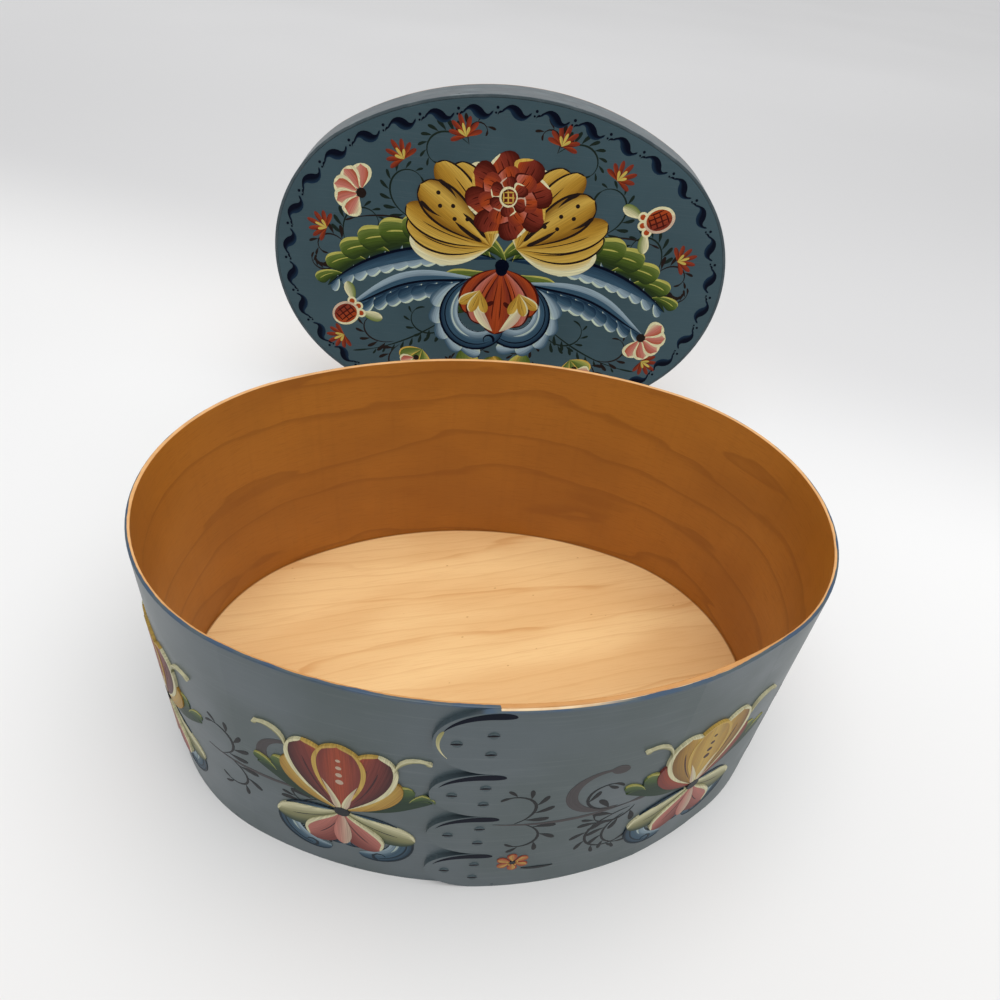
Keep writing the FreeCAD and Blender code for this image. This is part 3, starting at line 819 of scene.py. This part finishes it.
def wall_distance(tree, place):
    """Distance outside the box's oval, measured square to its arcs."""
    oval = Oval(HALF_LENGTH, HALF_WIDTH)
    near = add(tree, "VectorMath", {0: place}, operation="ABSOLUTE")[0]
    flat = add(tree, "VectorMath", {0: near, 1: (1, 1, 0)}, operation="MULTIPLY")[0]
    rays = [add(tree, "VectorMath", {0: flat, 1: centre}, operation="SUBTRACT")[0]
            for centre in ((0, -oval.side_centre, 0), (oval.end_centre, 0, 0))]
    past_side, past_end = [
        add(tree, "Math", {
            0: add(tree, "VectorMath", {0: ray}, operation="LENGTH")["Value"],
            1: radius}, operation="SUBTRACT")[0]
        for ray, radius in zip(rays, (oval.side_radius, oval.end_radius))]
    turned = add(tree, "VectorMath", {0: rays[0]}, operation="NORMALIZE")[0]
    at_end = add(tree, "Math", {
        0: add(tree, "SeparateXYZ", {0: turned})["X"], 1: math.cos(oval.shoulder)},
        operation="GREATER_THAN")[0]
    return add(tree, "Mix", {0: at_end, 2: past_side, 3: past_end})[0]


def stained_wood(tree, place, height):
    """Clear orange stain on birch: wide wandering bands, fine level flecks and faint upright chatter.

    Returns the colour and the flecks.
    """
    tones = settings("wood_colours")
    late = grain(tree, place, height, 30.0, 3.0, (160, 160, 35))
    fleck = mottle(tree, place, (8, 8, 0.5), 3.0, 0.6)
    blotch = mottle(tree, place, (70, 70, 40), 2.0)
    chatter = mottle(tree, place, (3.5, 3.5, 70), 1.0)
    return tinted(tree, tones.stain, *((where(tree, share), tones.stain_dark_and_gap_shade) for share in (
        (late, 0.1, 1.0, 0.0, 0.55), (fleck, 0.46, 0.8, 0.0, 0.5), (blotch, 0.35, 0.7, 0.0, 0.4),
        (chatter, 0.45, 0.8, 0.0, 0.12)))), fleck


def band_material():
    """Satin oil paint over steam-bent birch: smooth blue outside, clear-stained orange inside.

    The rim is rubbed back to the wood, most of it behind and hardly any of it in front.
    """
    tones = settings("wood_colours")
    material, tree = empty_material("painted_and_stained_birch")
    place = add(tree, "TexCoord")["Object"]
    along, back, height = add(tree, "SeparateXYZ", {0: place})
    distance = wall_distance(tree, place)
    outside = where(tree, (distance, -1.0 * MM, -0.8 * MM))
    lap = where(tree, (distance, 0.1 * MM, 0.2 * MM))

    # Paint: clouds 45 mm wide where the coat is thinner, faint streaks 0.9 mm high, a stronger line
    # under the rim, and shadow colour in the cut ends of the fingers
    cloud = mottle(tree, place, (45, 45, 45), 3.0)
    streak = mottle(tree, place, (30, 30, 0.9), 3.0, 0.6)
    top_line = shifted(tree, height, (streak, -1.4 * MM))
    paint = tinted(
        tree, tones.side_ground,
        (where(tree, (cloud, 0.35, 0.65)), tones.side_shade),
        (where(tree, (streak, 0.5, 0.85, 0.0, 0.14)), tones.scuff),
        (where(tree, (top_line, BAND_HEIGHT - 2.0 * MM, BAND_HEIGHT - 1.2 * MM, 0.0, 0.5)), tones.rim_blue),
        (where(tree, lap, (distance, 1.7 * MM, 1.5 * MM), (along, 1.0 * MM, 0.0),
               (along, -26 * MM, -10 * MM, 0.15, 0.65)), settings("paint_box").navy))
    inner, fleck = stained_wood(tree, place, height)

    # Rim: the blue wanders over its outer part, and the lap's outer layer is bare near the fingers
    wander = mottle(tree, place, (12, 12, 12), 4.0)
    on_lap = where(tree, (along, -7.4 * MM, -7.0 * MM), (along, 96 * MM, 60 * MM))
    border = shifted(tree, where(tree, (back, -80 * MM, 50 * MM, -1.9 * MM, -1.0 * MM)),
                     (wander, 1.4 * MM), (on_lap, 1.5 * MM))
    past_border = shifted(tree, distance, (border, -1.0))
    bare = where(tree, lap, on_lap, (distance, 1.2 * MM, 0.9 * MM), (along, 40 * MM, 14 * MM))
    covered = where(tree, (past_border, -0.12 * MM, 0.12 * MM), shifted(tree, 1.0, (bare, -1.0)))
    edge = tinted(
        tree, tones.rim_wood, (lap, tones.bare),
        (where(tree, (fleck, 0.4, 0.7, 0.0, 0.3)), tones.stain),
        (where(tree, (back, -40 * MM, -90 * MM, 0.0, 0.6), (distance, 0.2 * MM, 0.1 * MM)), tones.stain),
        (covered, tinted(tree, tones.rim_blue, (where(tree, (wander, 0.4, 0.6)), tones.side_ground))))
    normal = add(tree, "NewGeometry")["Normal"]
    upward = add(tree, "SeparateXYZ", {0: normal})["Z"]
    on_rim = where(tree, (upward, 0.25, 0.5), (height, BAND_HEIGHT - 1.0 * MM, BAND_HEIGHT - 0.5 * MM))
    roughness = shifted(tree, where(tree, (outside, 0, 1, 0.46, 0.40)),
                        (where(tree, (cloud, 0.3, 0.7, -0.04, 0.06)), 1.0))
    coat(tree, tinted(tree, inner, (outside, paint), (on_rim, edge)), roughness, 0.6,
         shifted(tree, streak, (fleck, 1.0)), 0.2, 0.05)
    return material


def from_lid_face(tree, source, centre=(0, 0, 0)):
    """Turn a direction, or with a centre a point, so that it is square to the standing lid.

    X runs along the lid's face, Y goes back from it and Z is up.
    """
    centred = add(tree, "VectorMath", {0: source, 1: centre}, operation="SUBTRACT")[0]
    return add(tree, "VectorRotate", {
        "Vector": centred, "Angle": -settings("box_shape").lid_turn}, rotation_type="Z_AXIS")[0]


def lid_band_material():
    """The same paint on the lid's narrow band, rubbed grey where hands lift it, stained inside."""
    tones = settings("wood_colours")
    material, tree = empty_material("rubbed_paint_on_birch")
    lid = LidFace()
    place = from_lid_face(tree, add(tree, "TexCoord")["Object"], lid.centre)
    level = from_lid_face(tree, add(tree, "NewGeometry")["Normal"])
    flat = add(tree, "VectorMath", {0: place, 1: (1, 0, 1)}, operation="MULTIPLY")[0]
    spoke = add(tree, "VectorMath", {0: flat}, operation="NORMALIZE")[0]
    outward = add(tree, "VectorMath", {0: level, 1: spoke}, operation="DOT_PRODUCT")["Value"]
    depth = add(tree, "SeparateXYZ", {0: place})["Y"]
    # The stain starts under the board, so that the band's front edge is painted all round
    outside = add(tree, "Math", {
        0: where(tree, (outward, -0.5, -0.4)), 1: where(tree, (depth, 4 * MM, 3 * MM))},
        operation="MAXIMUM")[0]

    # Rubbed streaks 16 mm long and 2 mm deep, in patches
    streak = mottle(tree, place, (16, 2, 16), 4.0, 0.7)
    cloud = mottle(tree, place, (18, 8, 18), 3.0)
    on_side = where(tree, (outward, 0.5, 0.8))
    rubbed = where(tree, (streak, 0.46, 0.62), (cloud, 0.34, 0.6, 0.3, 1.0))
    paint = tinted(
        tree, tones.side_ground, (on_side, tones.rubbed),
        (where(tree, (cloud, 0.4, 0.6, 0.0, 0.6)), tones.side_ground),
        (where(tree, rubbed, (on_side, 0, 1, 0.15, 0.6)), tones.scuff),
        (where(tree, (streak, 0.42, 0.30, 0.0, 0.45), on_side), tones.rim_blue))
    inner, _ = stained_wood(tree, place, depth)
    back_edge = where(tree, (depth, lid.depth - 0.4 * MM, lid.depth - 0.2 * MM))
    coat(tree, tinted(tree, inner, (outside, paint), (back_edge, tones.rim_wood)),
         where(tree, (rubbed, 0, 1, 0.38, 0.55)), 0.3, streak, 0.35, 0.15)
    return material


def planed_birch(tree, place):
    """Planed birch, grain along X: broad pale bands, a few crisp lines and fine pores.

    Returns the colour and the fibres.
    """
    tones = settings("wood_colours")
    across = add(tree, "SeparateXYZ", {0: place})["Y"]
    late = grain(tree, place, across, 34.0, 2.6, (220, 45, 60))
    fine = grain(tree, place, across, 9.0, 3.0, (180, 40, 60))
    fibre = mottle(tree, place, (18, 0.6, 5), 4.0, 0.6)
    cloud = mottle(tree, place, (130, 34, 30), 2.0)
    # Pores 16 mm apart along the grain and 9 mm across it
    apart = add(tree, "Mapping", {
        "Vector": place, "Scale": [1 / (size * MM) for size in (16, 9, 9)]})[0]
    pores = add(tree, "TexVoronoi", {"Vector": apart, "Scale": 1.0})["Distance"]
    return tinted(
        tree, tones.board,
        (where(tree, (late, 0.5, 1.0), (cloud, 0.45, 0.6, 0.15, 0.6)), tones.board_dark),
        (where(tree, (fine, 0.2, 1.0, 0.0, 0.22)), tones.board_dark),
        (where(tree, (fibre, 0.45, 0.8, 0.0, 0.3)), tones.board_dark),
        (where(tree, (cloud, 0.38, 0.62, 0.0, 0.35)), tones.board_dark),
        (where(tree, (pores, 0.05, 0.03, 0.0, 0.5)), tones.stain)), fibre


def lid_board_material():
    """Satin oil paint on the lid's board, brushed along its length, bare wood under the lid."""
    tones = settings("wood_colours")
    material, tree = empty_material("painted_lid_board")
    place = from_lid_face(tree, add(tree, "TexCoord")["Object"], LidFace().centre)
    # Brush streaks 40 mm long and 0.8 mm high over clouds of 50 mm
    streak = mottle(tree, place, (40, 40, 0.8), 4.0, 0.6)
    cloud = mottle(tree, place, (50, 50, 50), 3.0)
    lying = add(tree, "Mapping", {"Vector": place, "Rotation": (-math.pi / 2, 0, 0)})[0]
    depth = add(tree, "SeparateXYZ", {0: place})["Y"]
    tone = tinted(
        tree, tones.ground,
        (where(tree, (cloud, 0.35, 0.65, 0.0, 0.6)), tones.ground_shade),
        (where(tree, (streak, 0.5, 0.9, 0.0, 0.12)), tones.scuff),
        (where(tree, (depth, 1.0 * MM, 1.5 * MM)), planed_birch(tree, lying)[0]))
    coat(tree, tone, where(tree, (streak, 0.3, 0.8, 0.40, 0.50)), 0.2, streak, 0.15, 0.1)
    return material


def board_material():
    """Bare birch board, planed and untreated, its grain rising to the right, with painted shade darkening its
    edge along the wall.
    """
    material, tree = empty_material("planed_birch_board")
    place = add(tree, "TexCoord")["Object"]
    tilted = add(tree, "Mapping", {"Vector": place, "Rotation": (0, 0, math.radians(-10))})[0]
    wood, fibre = planed_birch(tree, tilted)
    # Painted shade: the board darkens towards its edge, where the gap to the wall lies in shadow
    painted_gap_shade = where(tree, (wall_distance(tree, place), -3.0 * MM, -2.2 * MM, 0.0, 0.85))
    coat(tree, tinted(tree, wood, (painted_gap_shade, settings("wood_colours").stain_dark_and_gap_shade)),
         where(tree, (fibre, 0.3, 0.8, 0.46, 0.56)), 0.3, fibre, 0.15, 0.1)
    return material


def stroke_material():
    """Artist's oil colour laid with a loaded brush: fine bristle lines along each stroke, soft gloss."""
    material, tree = empty_material(OILS)
    tone = add(tree, "VertexColor", layer_name="paint")["Color"]
    brush = add(tree, "UVMap", uv_map="brush")[0]
    # Bristle lines 0.45 mm apart that run 25 mm before they change
    along = add(tree, "Mapping", {
        "Vector": brush, "Scale": (UV_SPAN / (25 * MM), UV_SPAN / (0.45 * MM), 1)})[0]
    bristles = add(tree, "TexNoise", {
        "Vector": along, "Scale": 1.0, "Detail": 2.0, "Roughness": 0.6}, noise_dimensions="2D")[0]
    shade = add(tree, "HueSaturation", {
        "Color": tone, "Value": where(tree, (bristles, 0.25, 0.75, 0.82, 1.18))})[0]
    coat(tree, shade, where(tree, (bristles, 0.3, 0.7, 0.34, 0.46)), 0.05, bristles, 0.3, 0.05)
    return material


def fastener_material(name, speck, detail, least, most, dullest):
    """Ground coat over small heads: specks of a size in mm, and a share of the darker tone in each."""
    tones = settings("wood_colours")
    material, tree = empty_material(name)
    place = add(tree, "TexCoord")["Object"]
    speckle = mottle(tree, place, (speck, speck, speck), detail)
    shaded = where(tree, (speckle, 0.4, 0.7, least, most))
    coat(tree, tinted(tree, tones.side_ground, (shaded, tones.side_shade)),
         where(tree, (speckle, 0.3, 0.7, 0.40, dullest)), 0.3)
    return material


def dress(material, *nodes):
    """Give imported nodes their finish."""
    for node in nodes:
        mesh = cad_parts[node].data
        mesh.materials.clear()
        mesh.materials.append(material)


# Operators

class BENTWOOD_OT_stage(bpy.types.Operator):
    """Set up the pale floor, the soft light and the camera"""

    bl_idname = "bentwood.stage"
    bl_label = "Stage"

    def execute(self, context):
        studio = settings("studio")
        scene = context.scene
        bm = bmesh.new()
        bmesh.ops.create_grid(bm, x_segments=2, y_segments=2, size=studio.floor_width / 2)
        mesh = bpy.data.meshes.new("floor")
        bm.to_mesh(mesh)
        bm.free()
        floor = placed("floor", mesh)
        # Matt paper with painted light: paler in front as a painted pool of light, painted shade behind the
        # lid and to the right, painted paler again far off where the lamp's light falls off, with faint
        # darker patches
        material, tree = empty_material("matt_white_paper")
        place = add(tree, "TexCoord")["Object"]
        along_x, back, _ = add(tree, "SeparateXYZ", {0: place})
        slant = shifted(tree, back, (along_x, 0.5))
        cloud = mottle(tree, place, (400, 400, 400), 1.0)
        coat(tree, tinted(tree, studio.floor,
                          (where(tree, (back, -0.3, 0.15)), studio.floor_bright),
                          (where(tree, (slant, 0.22, 0.55)), studio.floor_dim),
                          (where(tree, (back, 0.6, 1.8)), studio.backdrop),
                          (where(tree, (cloud, 0.3, 0.7, 0.0, 0.1)), studio.floor_dim)), 0.9, 0.1)
        mesh.materials.append(material)

        world = bpy.data.worlds.new("pale_room")
        scene.world = world
        world.use_nodes = True
        tree = world.node_tree
        tree.nodes.clear()
        seen = add(tree, "LightPath")["Is Camera Ray"]
        light = add(tree, "Background", {"Color": (1, 1, 1, 1), "Strength": studio.sky})
        view = add(tree, "Background", {"Color": (*studio.backdrop, 1), "Strength": 1.0})
        both = add(tree, "MixShader", {0: seen, 1: light[0], 2: view[0]})
        add(tree, "OutputWorld", {"Surface": both[0]})

        lamp = bpy.data.lights.new("softbox", "AREA")
        lamp.shape = "DISK"
        lamp.size = studio.softbox_width
        lamp.energy = studio.softbox
        softbox = placed("softbox", lamp)
        softbox.location = studio.softbox_place
        softbox.rotation_euler = Vector(studio.softbox_place).to_track_quat("Z", "Y").to_euler()

        camera = bpy.data.cameras.new("camera")
        camera.sensor_fit = "HORIZONTAL"
        camera.sensor_width = 36
        camera.lens = studio.lens
        camera.clip_start, camera.clip_end = 0.01, 50
        eye = placed("camera", camera)
        eye.matrix_world = (Matrix.Translation(studio.camera_place)
                            @ Matrix.Rotation(studio.look_left, 4, "Z")
                            @ Matrix.Rotation(math.pi / 2 - studio.look_down, 4, "X")
                            @ Matrix.Rotation(studio.roll, 4, "Z"))
        scene.camera = eye
        scene.view_settings.view_transform = "Standard"
        return {"FINISHED"}


class BENTWOOD_OT_wood(bpy.types.Operator):
    """Paint, stain and varnish the bands and boards, and paint over the tacks and pins"""

    bl_idname = "bentwood.wood"
    bl_label = "Wood and ground coats"

    def execute(self, context):
        dress(band_material(), "box_band")
        dress(board_material(), "box_bottom_board")
        dress(lid_band_material(), "lid_band")
        dress(lid_board_material(), "lid_board")
        # Small iron tacks under the same coat of paint, rubbed a little darker round their heads
        dress(fastener_material("painted_over_iron_tacks", 1.2, 3.0, 0.0, 1.0, 0.50),
              "box_lap_tacks", "lid_lap_tacks")
        # End grain of birch pins, painted over flush with the band
        dress(fastener_material("painted_over_birch_pins", 0.6, 2.0, 0.2, 0.8, 0.52),
              "box_bottom_pins", "lid_pins")
        return {"FINISHED"}


class BENTWOOD_OT_lid_border(bpy.types.Operator):
    """Paint the border of wave strokes and dots round the lid's face"""

    bl_idname = "bentwood.lid_border"
    bl_label = "Lid border"

    strokes = 34

    def execute(self, context):
        lid = LidFace()
        inset = settings("box_shape").border_inset
        line = Oval(lid.half_length - inset, lid.half_width - inset)
        pitch = 4 * line.quarter / self.strokes
        painting = Painting(lid, 0.05, step=0.9)
        for number in range(self.strokes):
            x, y, direction = line.at(number * pitch)
            spot = painting.place(x / MM, y / MM, math.degrees(direction) - 90)
            wave = spot.path(-8.7, -1.6, 3, 20.5, wave=48, phase=90)
            spot.lay(wave, 5.8, wave_belly, ("navy", "navy", "blue_dark"))
            spot.stroke(-8.6, -1.2, 170, 3.2, 1.3, ("navy",), 100)
            x, y, direction = line.at((number + 0.5) * pitch)
            gap = painting.place(x / MM, y / MM, math.degrees(direction) - 90)
            gap.dot(0.2, 1.2, 1.7, "navy")
            gap.dot(-0.8, -1.6, 1.2, "navy")
        painting.finish("lid_border_strokes", "lid", "painted_lid_board")
        return {"FINISHED"}


class BENTWOOD_OT_lid_tendrils(bpy.types.Operator):
    """Paint the fine dark tendrils and the red sprigs round the lid's bouquet"""

    bl_idname = "bentwood.lid_tendrils"
    bl_label = "Lid tendrils"

    def execute(self, context):
        painting = Painting(LidFace(), 0.05)
        # Right half: x, y, heading, reach, bend, leaflets, side of the leaflets
        for x, y, turn, reach, bend, count, side in (
                (56, 32, 22, 60, 250, 8, -1), (56, 32, 8, 44, -30, 0, 1), (58, 30, -4, 40, -250, 5, 1),
                (26, 80, 38, 46, -230, 8, 1), (26, 80, 70, 26, 230, 4, -1),
                (100, 12, 74, 52, 240, 8, -1), (100, 12, 50, 34, -240, 5, 1),
                (104, 6, -74, 34, 200, 6, 1), (104, 6, -100, 26, -220, 4, -1),
                (26, -26, -40, 84, 34, 9, -1), (30, -34, -56, 52, 230, 7, -1), (28, -32, -84, 48, -190, 6, 1),
                (70, -54, -14, 40, 220, 6, -1), (66, -56, -40, 34, -200, 5, 1),
                (10, -60, -70, 34, 210, 5, -1), (16, -86, 0, 40, 210, 6, -1)):
            for spot in painting.pair(x, y, turn):
                tendril(spot, reach, bend, count, side, "moss" if count > 6 else "umber")
        for x, y, turn in ((112, 22, 24), (64, 68, 52), (28, 84, 70), (104, -52, -30)):
            for spot in painting.pair(x, y, turn):
                fan(spot, 7, 150, 13, 2.9, ("rust", "maroon"), "brick")
                fan(spot, 3, 60, 8, 1.8, ("gold", "lime"))
        painting.finish("lid_tendrils", "lid", "painted_lid_board")
        return {"FINISHED"}


class BENTWOOD_OT_lid_leaves(bpy.types.Operator):
    """Paint the green leaves of the lid"""

    bl_idname = "bentwood.lid_leaves"
    bl_label = "Lid leaves"

    def execute(self, context):
        painting = Painting(LidFace(), 0.08)
        for spot in painting.pair(4, 12, 18):
            acanthus(spot, 116, -62, 9, 21, 9)
        for x, y, turn, reach, bend in ((8, 22, 76, 46, -50), (10, 14, 22, 42, -30), (4, 2, -62, 46, 60),
                                        (6, 4, -34, 34, 40)):
            for spot in painting.pair(x, y, turn):
                spot.petal(0, 0, 0, reach, reach * 0.4, GREENS[::-1], bend, left="lime", edge=0.14,
                           veins=(0.45, -0.1), vein="green_light")
        for spot in painting.pair(0, -92, 40):
            for turn, reach, width, tones, edge in ((0, 44, 17, ("gold", "green_light", "green"), "lime"),
                                                    (30, 34, 14, ("lime", "ochre", "green"), "gold")):
                spot.petal(0, 0, turn, reach, width, tones, 40, left=edge, edge=0.2, veins=(0.1,),
                           vein="green_dark")
        painting.finish("lid_leaves", "lid", "painted_lid_board")
        return {"FINISHED"}


class BENTWOOD_OT_lid_scrolls(bpy.types.Operator):
    """Paint the blue scrolls of the lid"""

    bl_idname = "bentwood.lid_scrolls"
    bl_label = "Lid scrolls"

    def execute(self, context):
        painting = Painting(LidFace(), 0.14)
        for spot in painting.pair(14, -2, -14):
            rib = spot.path(0, 0, 0, 92, -8, 1.0, 10)
            spot.lay(rib, 16, leaf, ("blue_pale", "blue", "blue_dark"))
            lobes(spot, rib, 8, 0.24, 0.99, 13, ("blue_dark", "blue", "blue_pale"), "frost", -1)
            spot.lay(rib, 13, leaf, ("blue", "blue", "blue_dark"), (-0.3, 0.6), (0.04, 0.96))
            spot.lay(rib, 1.5, hair, ("navy",))
        for x, y, turn, reach, bend, width, curl, commas in (
                (2, 2, -14, 100, 262, 15, 1.5, 5), (2, 0, -30, 62, 230, 11, 1.3, 0),
                (2, -2, -50, 38, 170, 8, 1.2, 0)):
            for spot in painting.pair(x, y, turn, -1):
                scroll(spot, reach, bend, width, curl, commas)
        painting.finish("lid_scrolls", "lid", "painted_lid_board")
        return {"FINISHED"}


class BENTWOOD_OT_lid_flowers(bpy.types.Operator):
    """Paint the large and small flowers of the lid"""

    bl_idname = "bentwood.lid_flowers"
    bl_label = "Lid flowers"

    def execute(self, context):
        painting = Painting(LidFace(), 0.20)
        for spot in painting.pair(8, 20, 38):
            tulip(spot, 54, GOLDS, "cream", "umber")
        bell(painting.place(0, 6, 270), 46)
        for spot in painting.pair(13, -10, -72):
            for turn in (-26, 26, 0):
                spot.petal(0, 0, turn, 17, 7, ("gold", "ochre"), turn * 0.6, left="cream", edge=0.25,
                           veins=(-0.1,))
        rose(painting.place(0, 52, 90), 26)
        painting.place(0, 8).dot(0, 0, 9, "navy")
        reds = ("cream", "rose", "rust")
        for x, y, turn in ((-90, 46, 160), (100, -34, -40)):
            small_flower(painting.place(x, y, turn), 5, 15, reds, spread=190)
        for x, y, turn in ((92, 46, 24), (-100, -34, 215)):
            spot = painting.place(x, y, turn)
            for side in (1, -1):
                spot.inner(-6, side * 3, side * 120).petal(
                    0, 0, 0, 16, 7, ("cream", "green_light"), 20, left="cream", edge=0.3)
            hatched_bud(spot, 15)
        for x, y, turn in ((-50, -58, 240), (54, -56, -60)):
            spot = painting.place(x, y, turn)
            for side in (-1, 0, 1):
                spot.petal(0, 0, side * 46, 17, 9, ("lime", "green_light", "green"), side * -20,
                           left="gold", right="gold", edge=0.2)
            small_flower(spot.inner(8, 0), 3, 10, reds, spread=150)
        painting.finish("lid_flowers", "lid", "painted_lid_board")
        return {"FINISHED"}


class BENTWOOD_OT_lap_accents(bpy.types.Operator):
    """Paint the dark crescents along the fingers of the lap and dark marks of painted shade over its tack
    heads
    """

    bl_idname = "bentwood.lap_accents"
    bl_label = "Lap accents"

    # Millimetres from a finger's edge to the middle of its crescent
    inset = 2.0

    def execute(self, context):
        shape = settings("box_shape")
        root, finger = -shape.lap_root / MM, shape.finger / MM
        by_root, by_tip = root - shape.root_inset / MM, root - shape.tip_inset / MM
        spread = shape.root_spread / MM / 2
        wall = BoxWall()
        accents = Painting(wall, 0.06, 0.005, 0.8)
        shade_marks = Painting(wall, 0.42, 0.0, 0.8, film=0.14)
        for low, high in [(low / MM, high / MM) for low, high in wall.fingers]:
            middle, half = (low + high) / 2, (high - low) / 2
            edge = FingerEdge(root, middle, finger - self.inset, half - self.inset, -14, 68)
            accents.place().lay(edge, 3.3, comma, ("navy",))
            # Painted shade: a dark dash of umber and navy over each tack head
            for x, z in (by_root, middle - spread), (by_root, middle + spread), (by_tip, middle):
                shade_marks.place(x, z).stroke(2.0, 0.3, 176, 4.0, 1.0, ("umber", "navy"), 16, shape=leaf)
        glint = FingerEdge(root, middle, finger - self.inset, half - self.inset, 66, 124)
        accents.place().lay(glint, 1.5, comma, ("olive",), fade="cream")
        accents.finish("box_lap_accents", "box", "painted_band")
        shade_marks.finish("box_tack_marks", "box", "painted_band")
        return {"FINISHED"}


class BENTWOOD_OT_wall_painting(bpy.types.Operator):
    """Paint the vines round the box wall, then the leaves and the petals of its sprays over them"""

    bl_idname = "bentwood.wall_painting"
    bl_label = "Wall painting"

    # Millimetres along the wall from the middle of its front to the sprays and the vines between
    sprays = (-60, 80, 200, 318, 430, 540, 637)
    vines = (10, 139, 259, 374, 485, 590, 686)

    def execute(self, context):
        wall = BoxWall()
        # The wall's strokes are mixed towards its ground as painted shade, making them greyer
        vines = Painting(wall, 0.05, 0.004, 1.5, shade_mix=0.25)
        for number, travel in enumerate(self.vines):
            vine(vines.place(travel, 50, 0, -1 if number % 2 else 1))
        leaves = Painting(wall, 0.10, 0.02, 1.6, over=vines, shade_mix=0.32)
        for travel in self.sprays:
            for spot in mirrored(leaves.place(travel, 47)):
                spray_leaves(spot)
        petals = Painting(wall, 0.12, 0.02, 1.6, over=leaves, shade_mix=0.3)
        for number, travel in enumerate(self.sprays):
            spray_petals(petals.place(travel, 47), number % 2)
        small = petals.place(6.5, 21)
        small_flower(small, 6, 6, ("gold", "rust"), edge="rust")
        small.stroke(4, -6, -12, 13, 1.8, ("umber",), 20, shape=leaf)
        for painting, name in ((vines, "box_wall_vines"), (leaves, "box_wall_leaves"),
                               (petals, "box_wall_petals")):
            painting.finish(name, "box", "painted_band")
        return {"FINISHED"}


def mirrored(place):
    """Place and its mirror image to the left."""
    return place, place.inner(0, 0, 180, -1)


def spray_leaves(place):
    """Half of a spray's leaves: a drooping blue scroll, a lobed green leaf and a pale leaf below."""
    scroll(place.inner(1, -2, 4, -1), 56, 205, 10, 1.3)
    scroll(place.inner(1, -3, -26, -1), 32, 160, 7, 1.3)
    rib = place.path(0, 0, 46, 38, -44)
    place.lay(rib, 13, leaf, ("green", "green_dark", "green_dark"))
    lobes(place, rib, 4, 0.35, 0.98, 12, GREENS, "lime", 1)
    place.petal(0, 0, -50, 32, 14, ("cream", "olive", "green_dark"), 44, left="cream", edge=0.2,
                veins=(0.1,))


def spray_petals(place, kind):
    """Petals of a spray: five above that open like a fan and two below, red-brown or ochre by kind."""
    upper, lower = (GOLDS, REDS) if kind else (REDS, GOLDS)
    for half in mirrored(place):
        half.petal(0, 0, 40, 34, 14, ("cream",) + lower[:2], 30, left="cream", edge=0.2, veins=(0.1,))
    for half in mirrored(place):
        half.petal(0, 0, 62, 44, 18, upper, 22, left="cream" if kind else "gold", right="cream", edge=0.16,
                   veins=(0.25, -0.2), vein="maroon")
        half.stroke(20, 34, 84, 18, 1.6, ("cream", "olive"), -130, 1.4, shape=whip)
    place.petal(0, 0, 90, 43, 19, (upper[1], upper[0], upper[1]), left="gold", right="gold", edge=0.14)
    for number in range(4):
        place.dot(0, 21 + 4.6 * number, 3.0 - 0.4 * number, "maroon" if kind else "shell")
    for half in mirrored(place):
        half.stroke(1, 2, 78, 19, 3.0, ("cream", "shell"), -12)
        half.petal(0, 0, -80, 30, 14, ("rose", "brick"), 40, left="cream", edge=0.2, veins=(0.0,),
                   vein="maroon")
    place.stroke(0, 1, -90, 26, 7, ("shell", "rose"), shape=drop)
    place.dot(0, 0, 6, "umber")


def vine(place):
    """Vine of the wall: a stem, a bold loop, and curls with teardrops."""
    for x, y, turn, reach, bend, count, side, width, curl in (
            (-14, 2, -6, 62, 20, 0, 1, 1.8, 1.0), (34, 4, 190, 56, -236, 0, 1, 4.6, 1.2),
            (36, 3, 184, 40, -250, 3, -1, 1.2, 1.5), (40, 0, 196, 52, 230, 6, -1, 1.2, 1.5),
            (38, -4, 222, 34, 150, 5, -1, 1.1, 1.3), (42, 0, 250, 26, -180, 4, 1, 1.1, 1.3),
            (-6, 2, 34, 32, 190, 5, -1, 1.2, 1.4), (-2, 1, -34, 30, -210, 4, 1, 1.1, 1.4)):
        tendril(place.inner(x, y, turn), reach, bend, count, side, "umber" if count else "mauve", width, curl)


class BENTWOOD_PT_panel(bpy.types.Panel):
    """Sidebar panel of the bentwood box"""

    bl_label = "Bentwood Box"
    bl_idname = "BENTWOOD_PT_panel"
    bl_space_type = "VIEW_3D"
    bl_region_type = "UI"
    bl_category = "Bentwood"

    def draw(self, context):
        for operator in OPERATORS:
            self.layout.operator(operator.bl_idname)
        for name in SETTINGS:
            group = getattr(context.scene, name)
            column = self.layout.column()
            for field in group.bl_rna.properties.keys():
                if field not in ("rna_type", "name"):
                    column.prop(group, field)


OPERATORS = (BENTWOOD_OT_stage, BENTWOOD_OT_wood, BENTWOOD_OT_lid_border, BENTWOOD_OT_lid_tendrils,
             BENTWOOD_OT_lid_leaves, BENTWOOD_OT_lid_scrolls, BENTWOOD_OT_lid_flowers,
             BENTWOOD_OT_lap_accents, BENTWOOD_OT_wall_painting)


def register():
    for name, group in SETTINGS.items():
        bpy.utils.register_class(group)
        setattr(bpy.types.Scene, name, PointerProperty(type=group))
    for item in OPERATORS + (BENTWOOD_PT_panel,):
        bpy.utils.register_class(item)


def unregister():
    for item in reversed(OPERATORS + (BENTWOOD_PT_panel,)):
        bpy.utils.unregister_class(item)
    for name, group in SETTINGS.items():
        delattr(bpy.types.Scene, name)
        bpy.utils.unregister_class(group)


def main():
    register()
    bpy.ops.bentwood.stage()
    bpy.ops.bentwood.wood()
    bpy.ops.bentwood.lid_border()
    bpy.ops.bentwood.lid_tendrils()
    bpy.ops.bentwood.lid_leaves()
    bpy.ops.bentwood.lid_scrolls()
    bpy.ops.bentwood.lid_flowers()
    bpy.ops.bentwood.lap_accents()
    bpy.ops.bentwood.wall_painting()


if __name__ == "__main__":
    main()
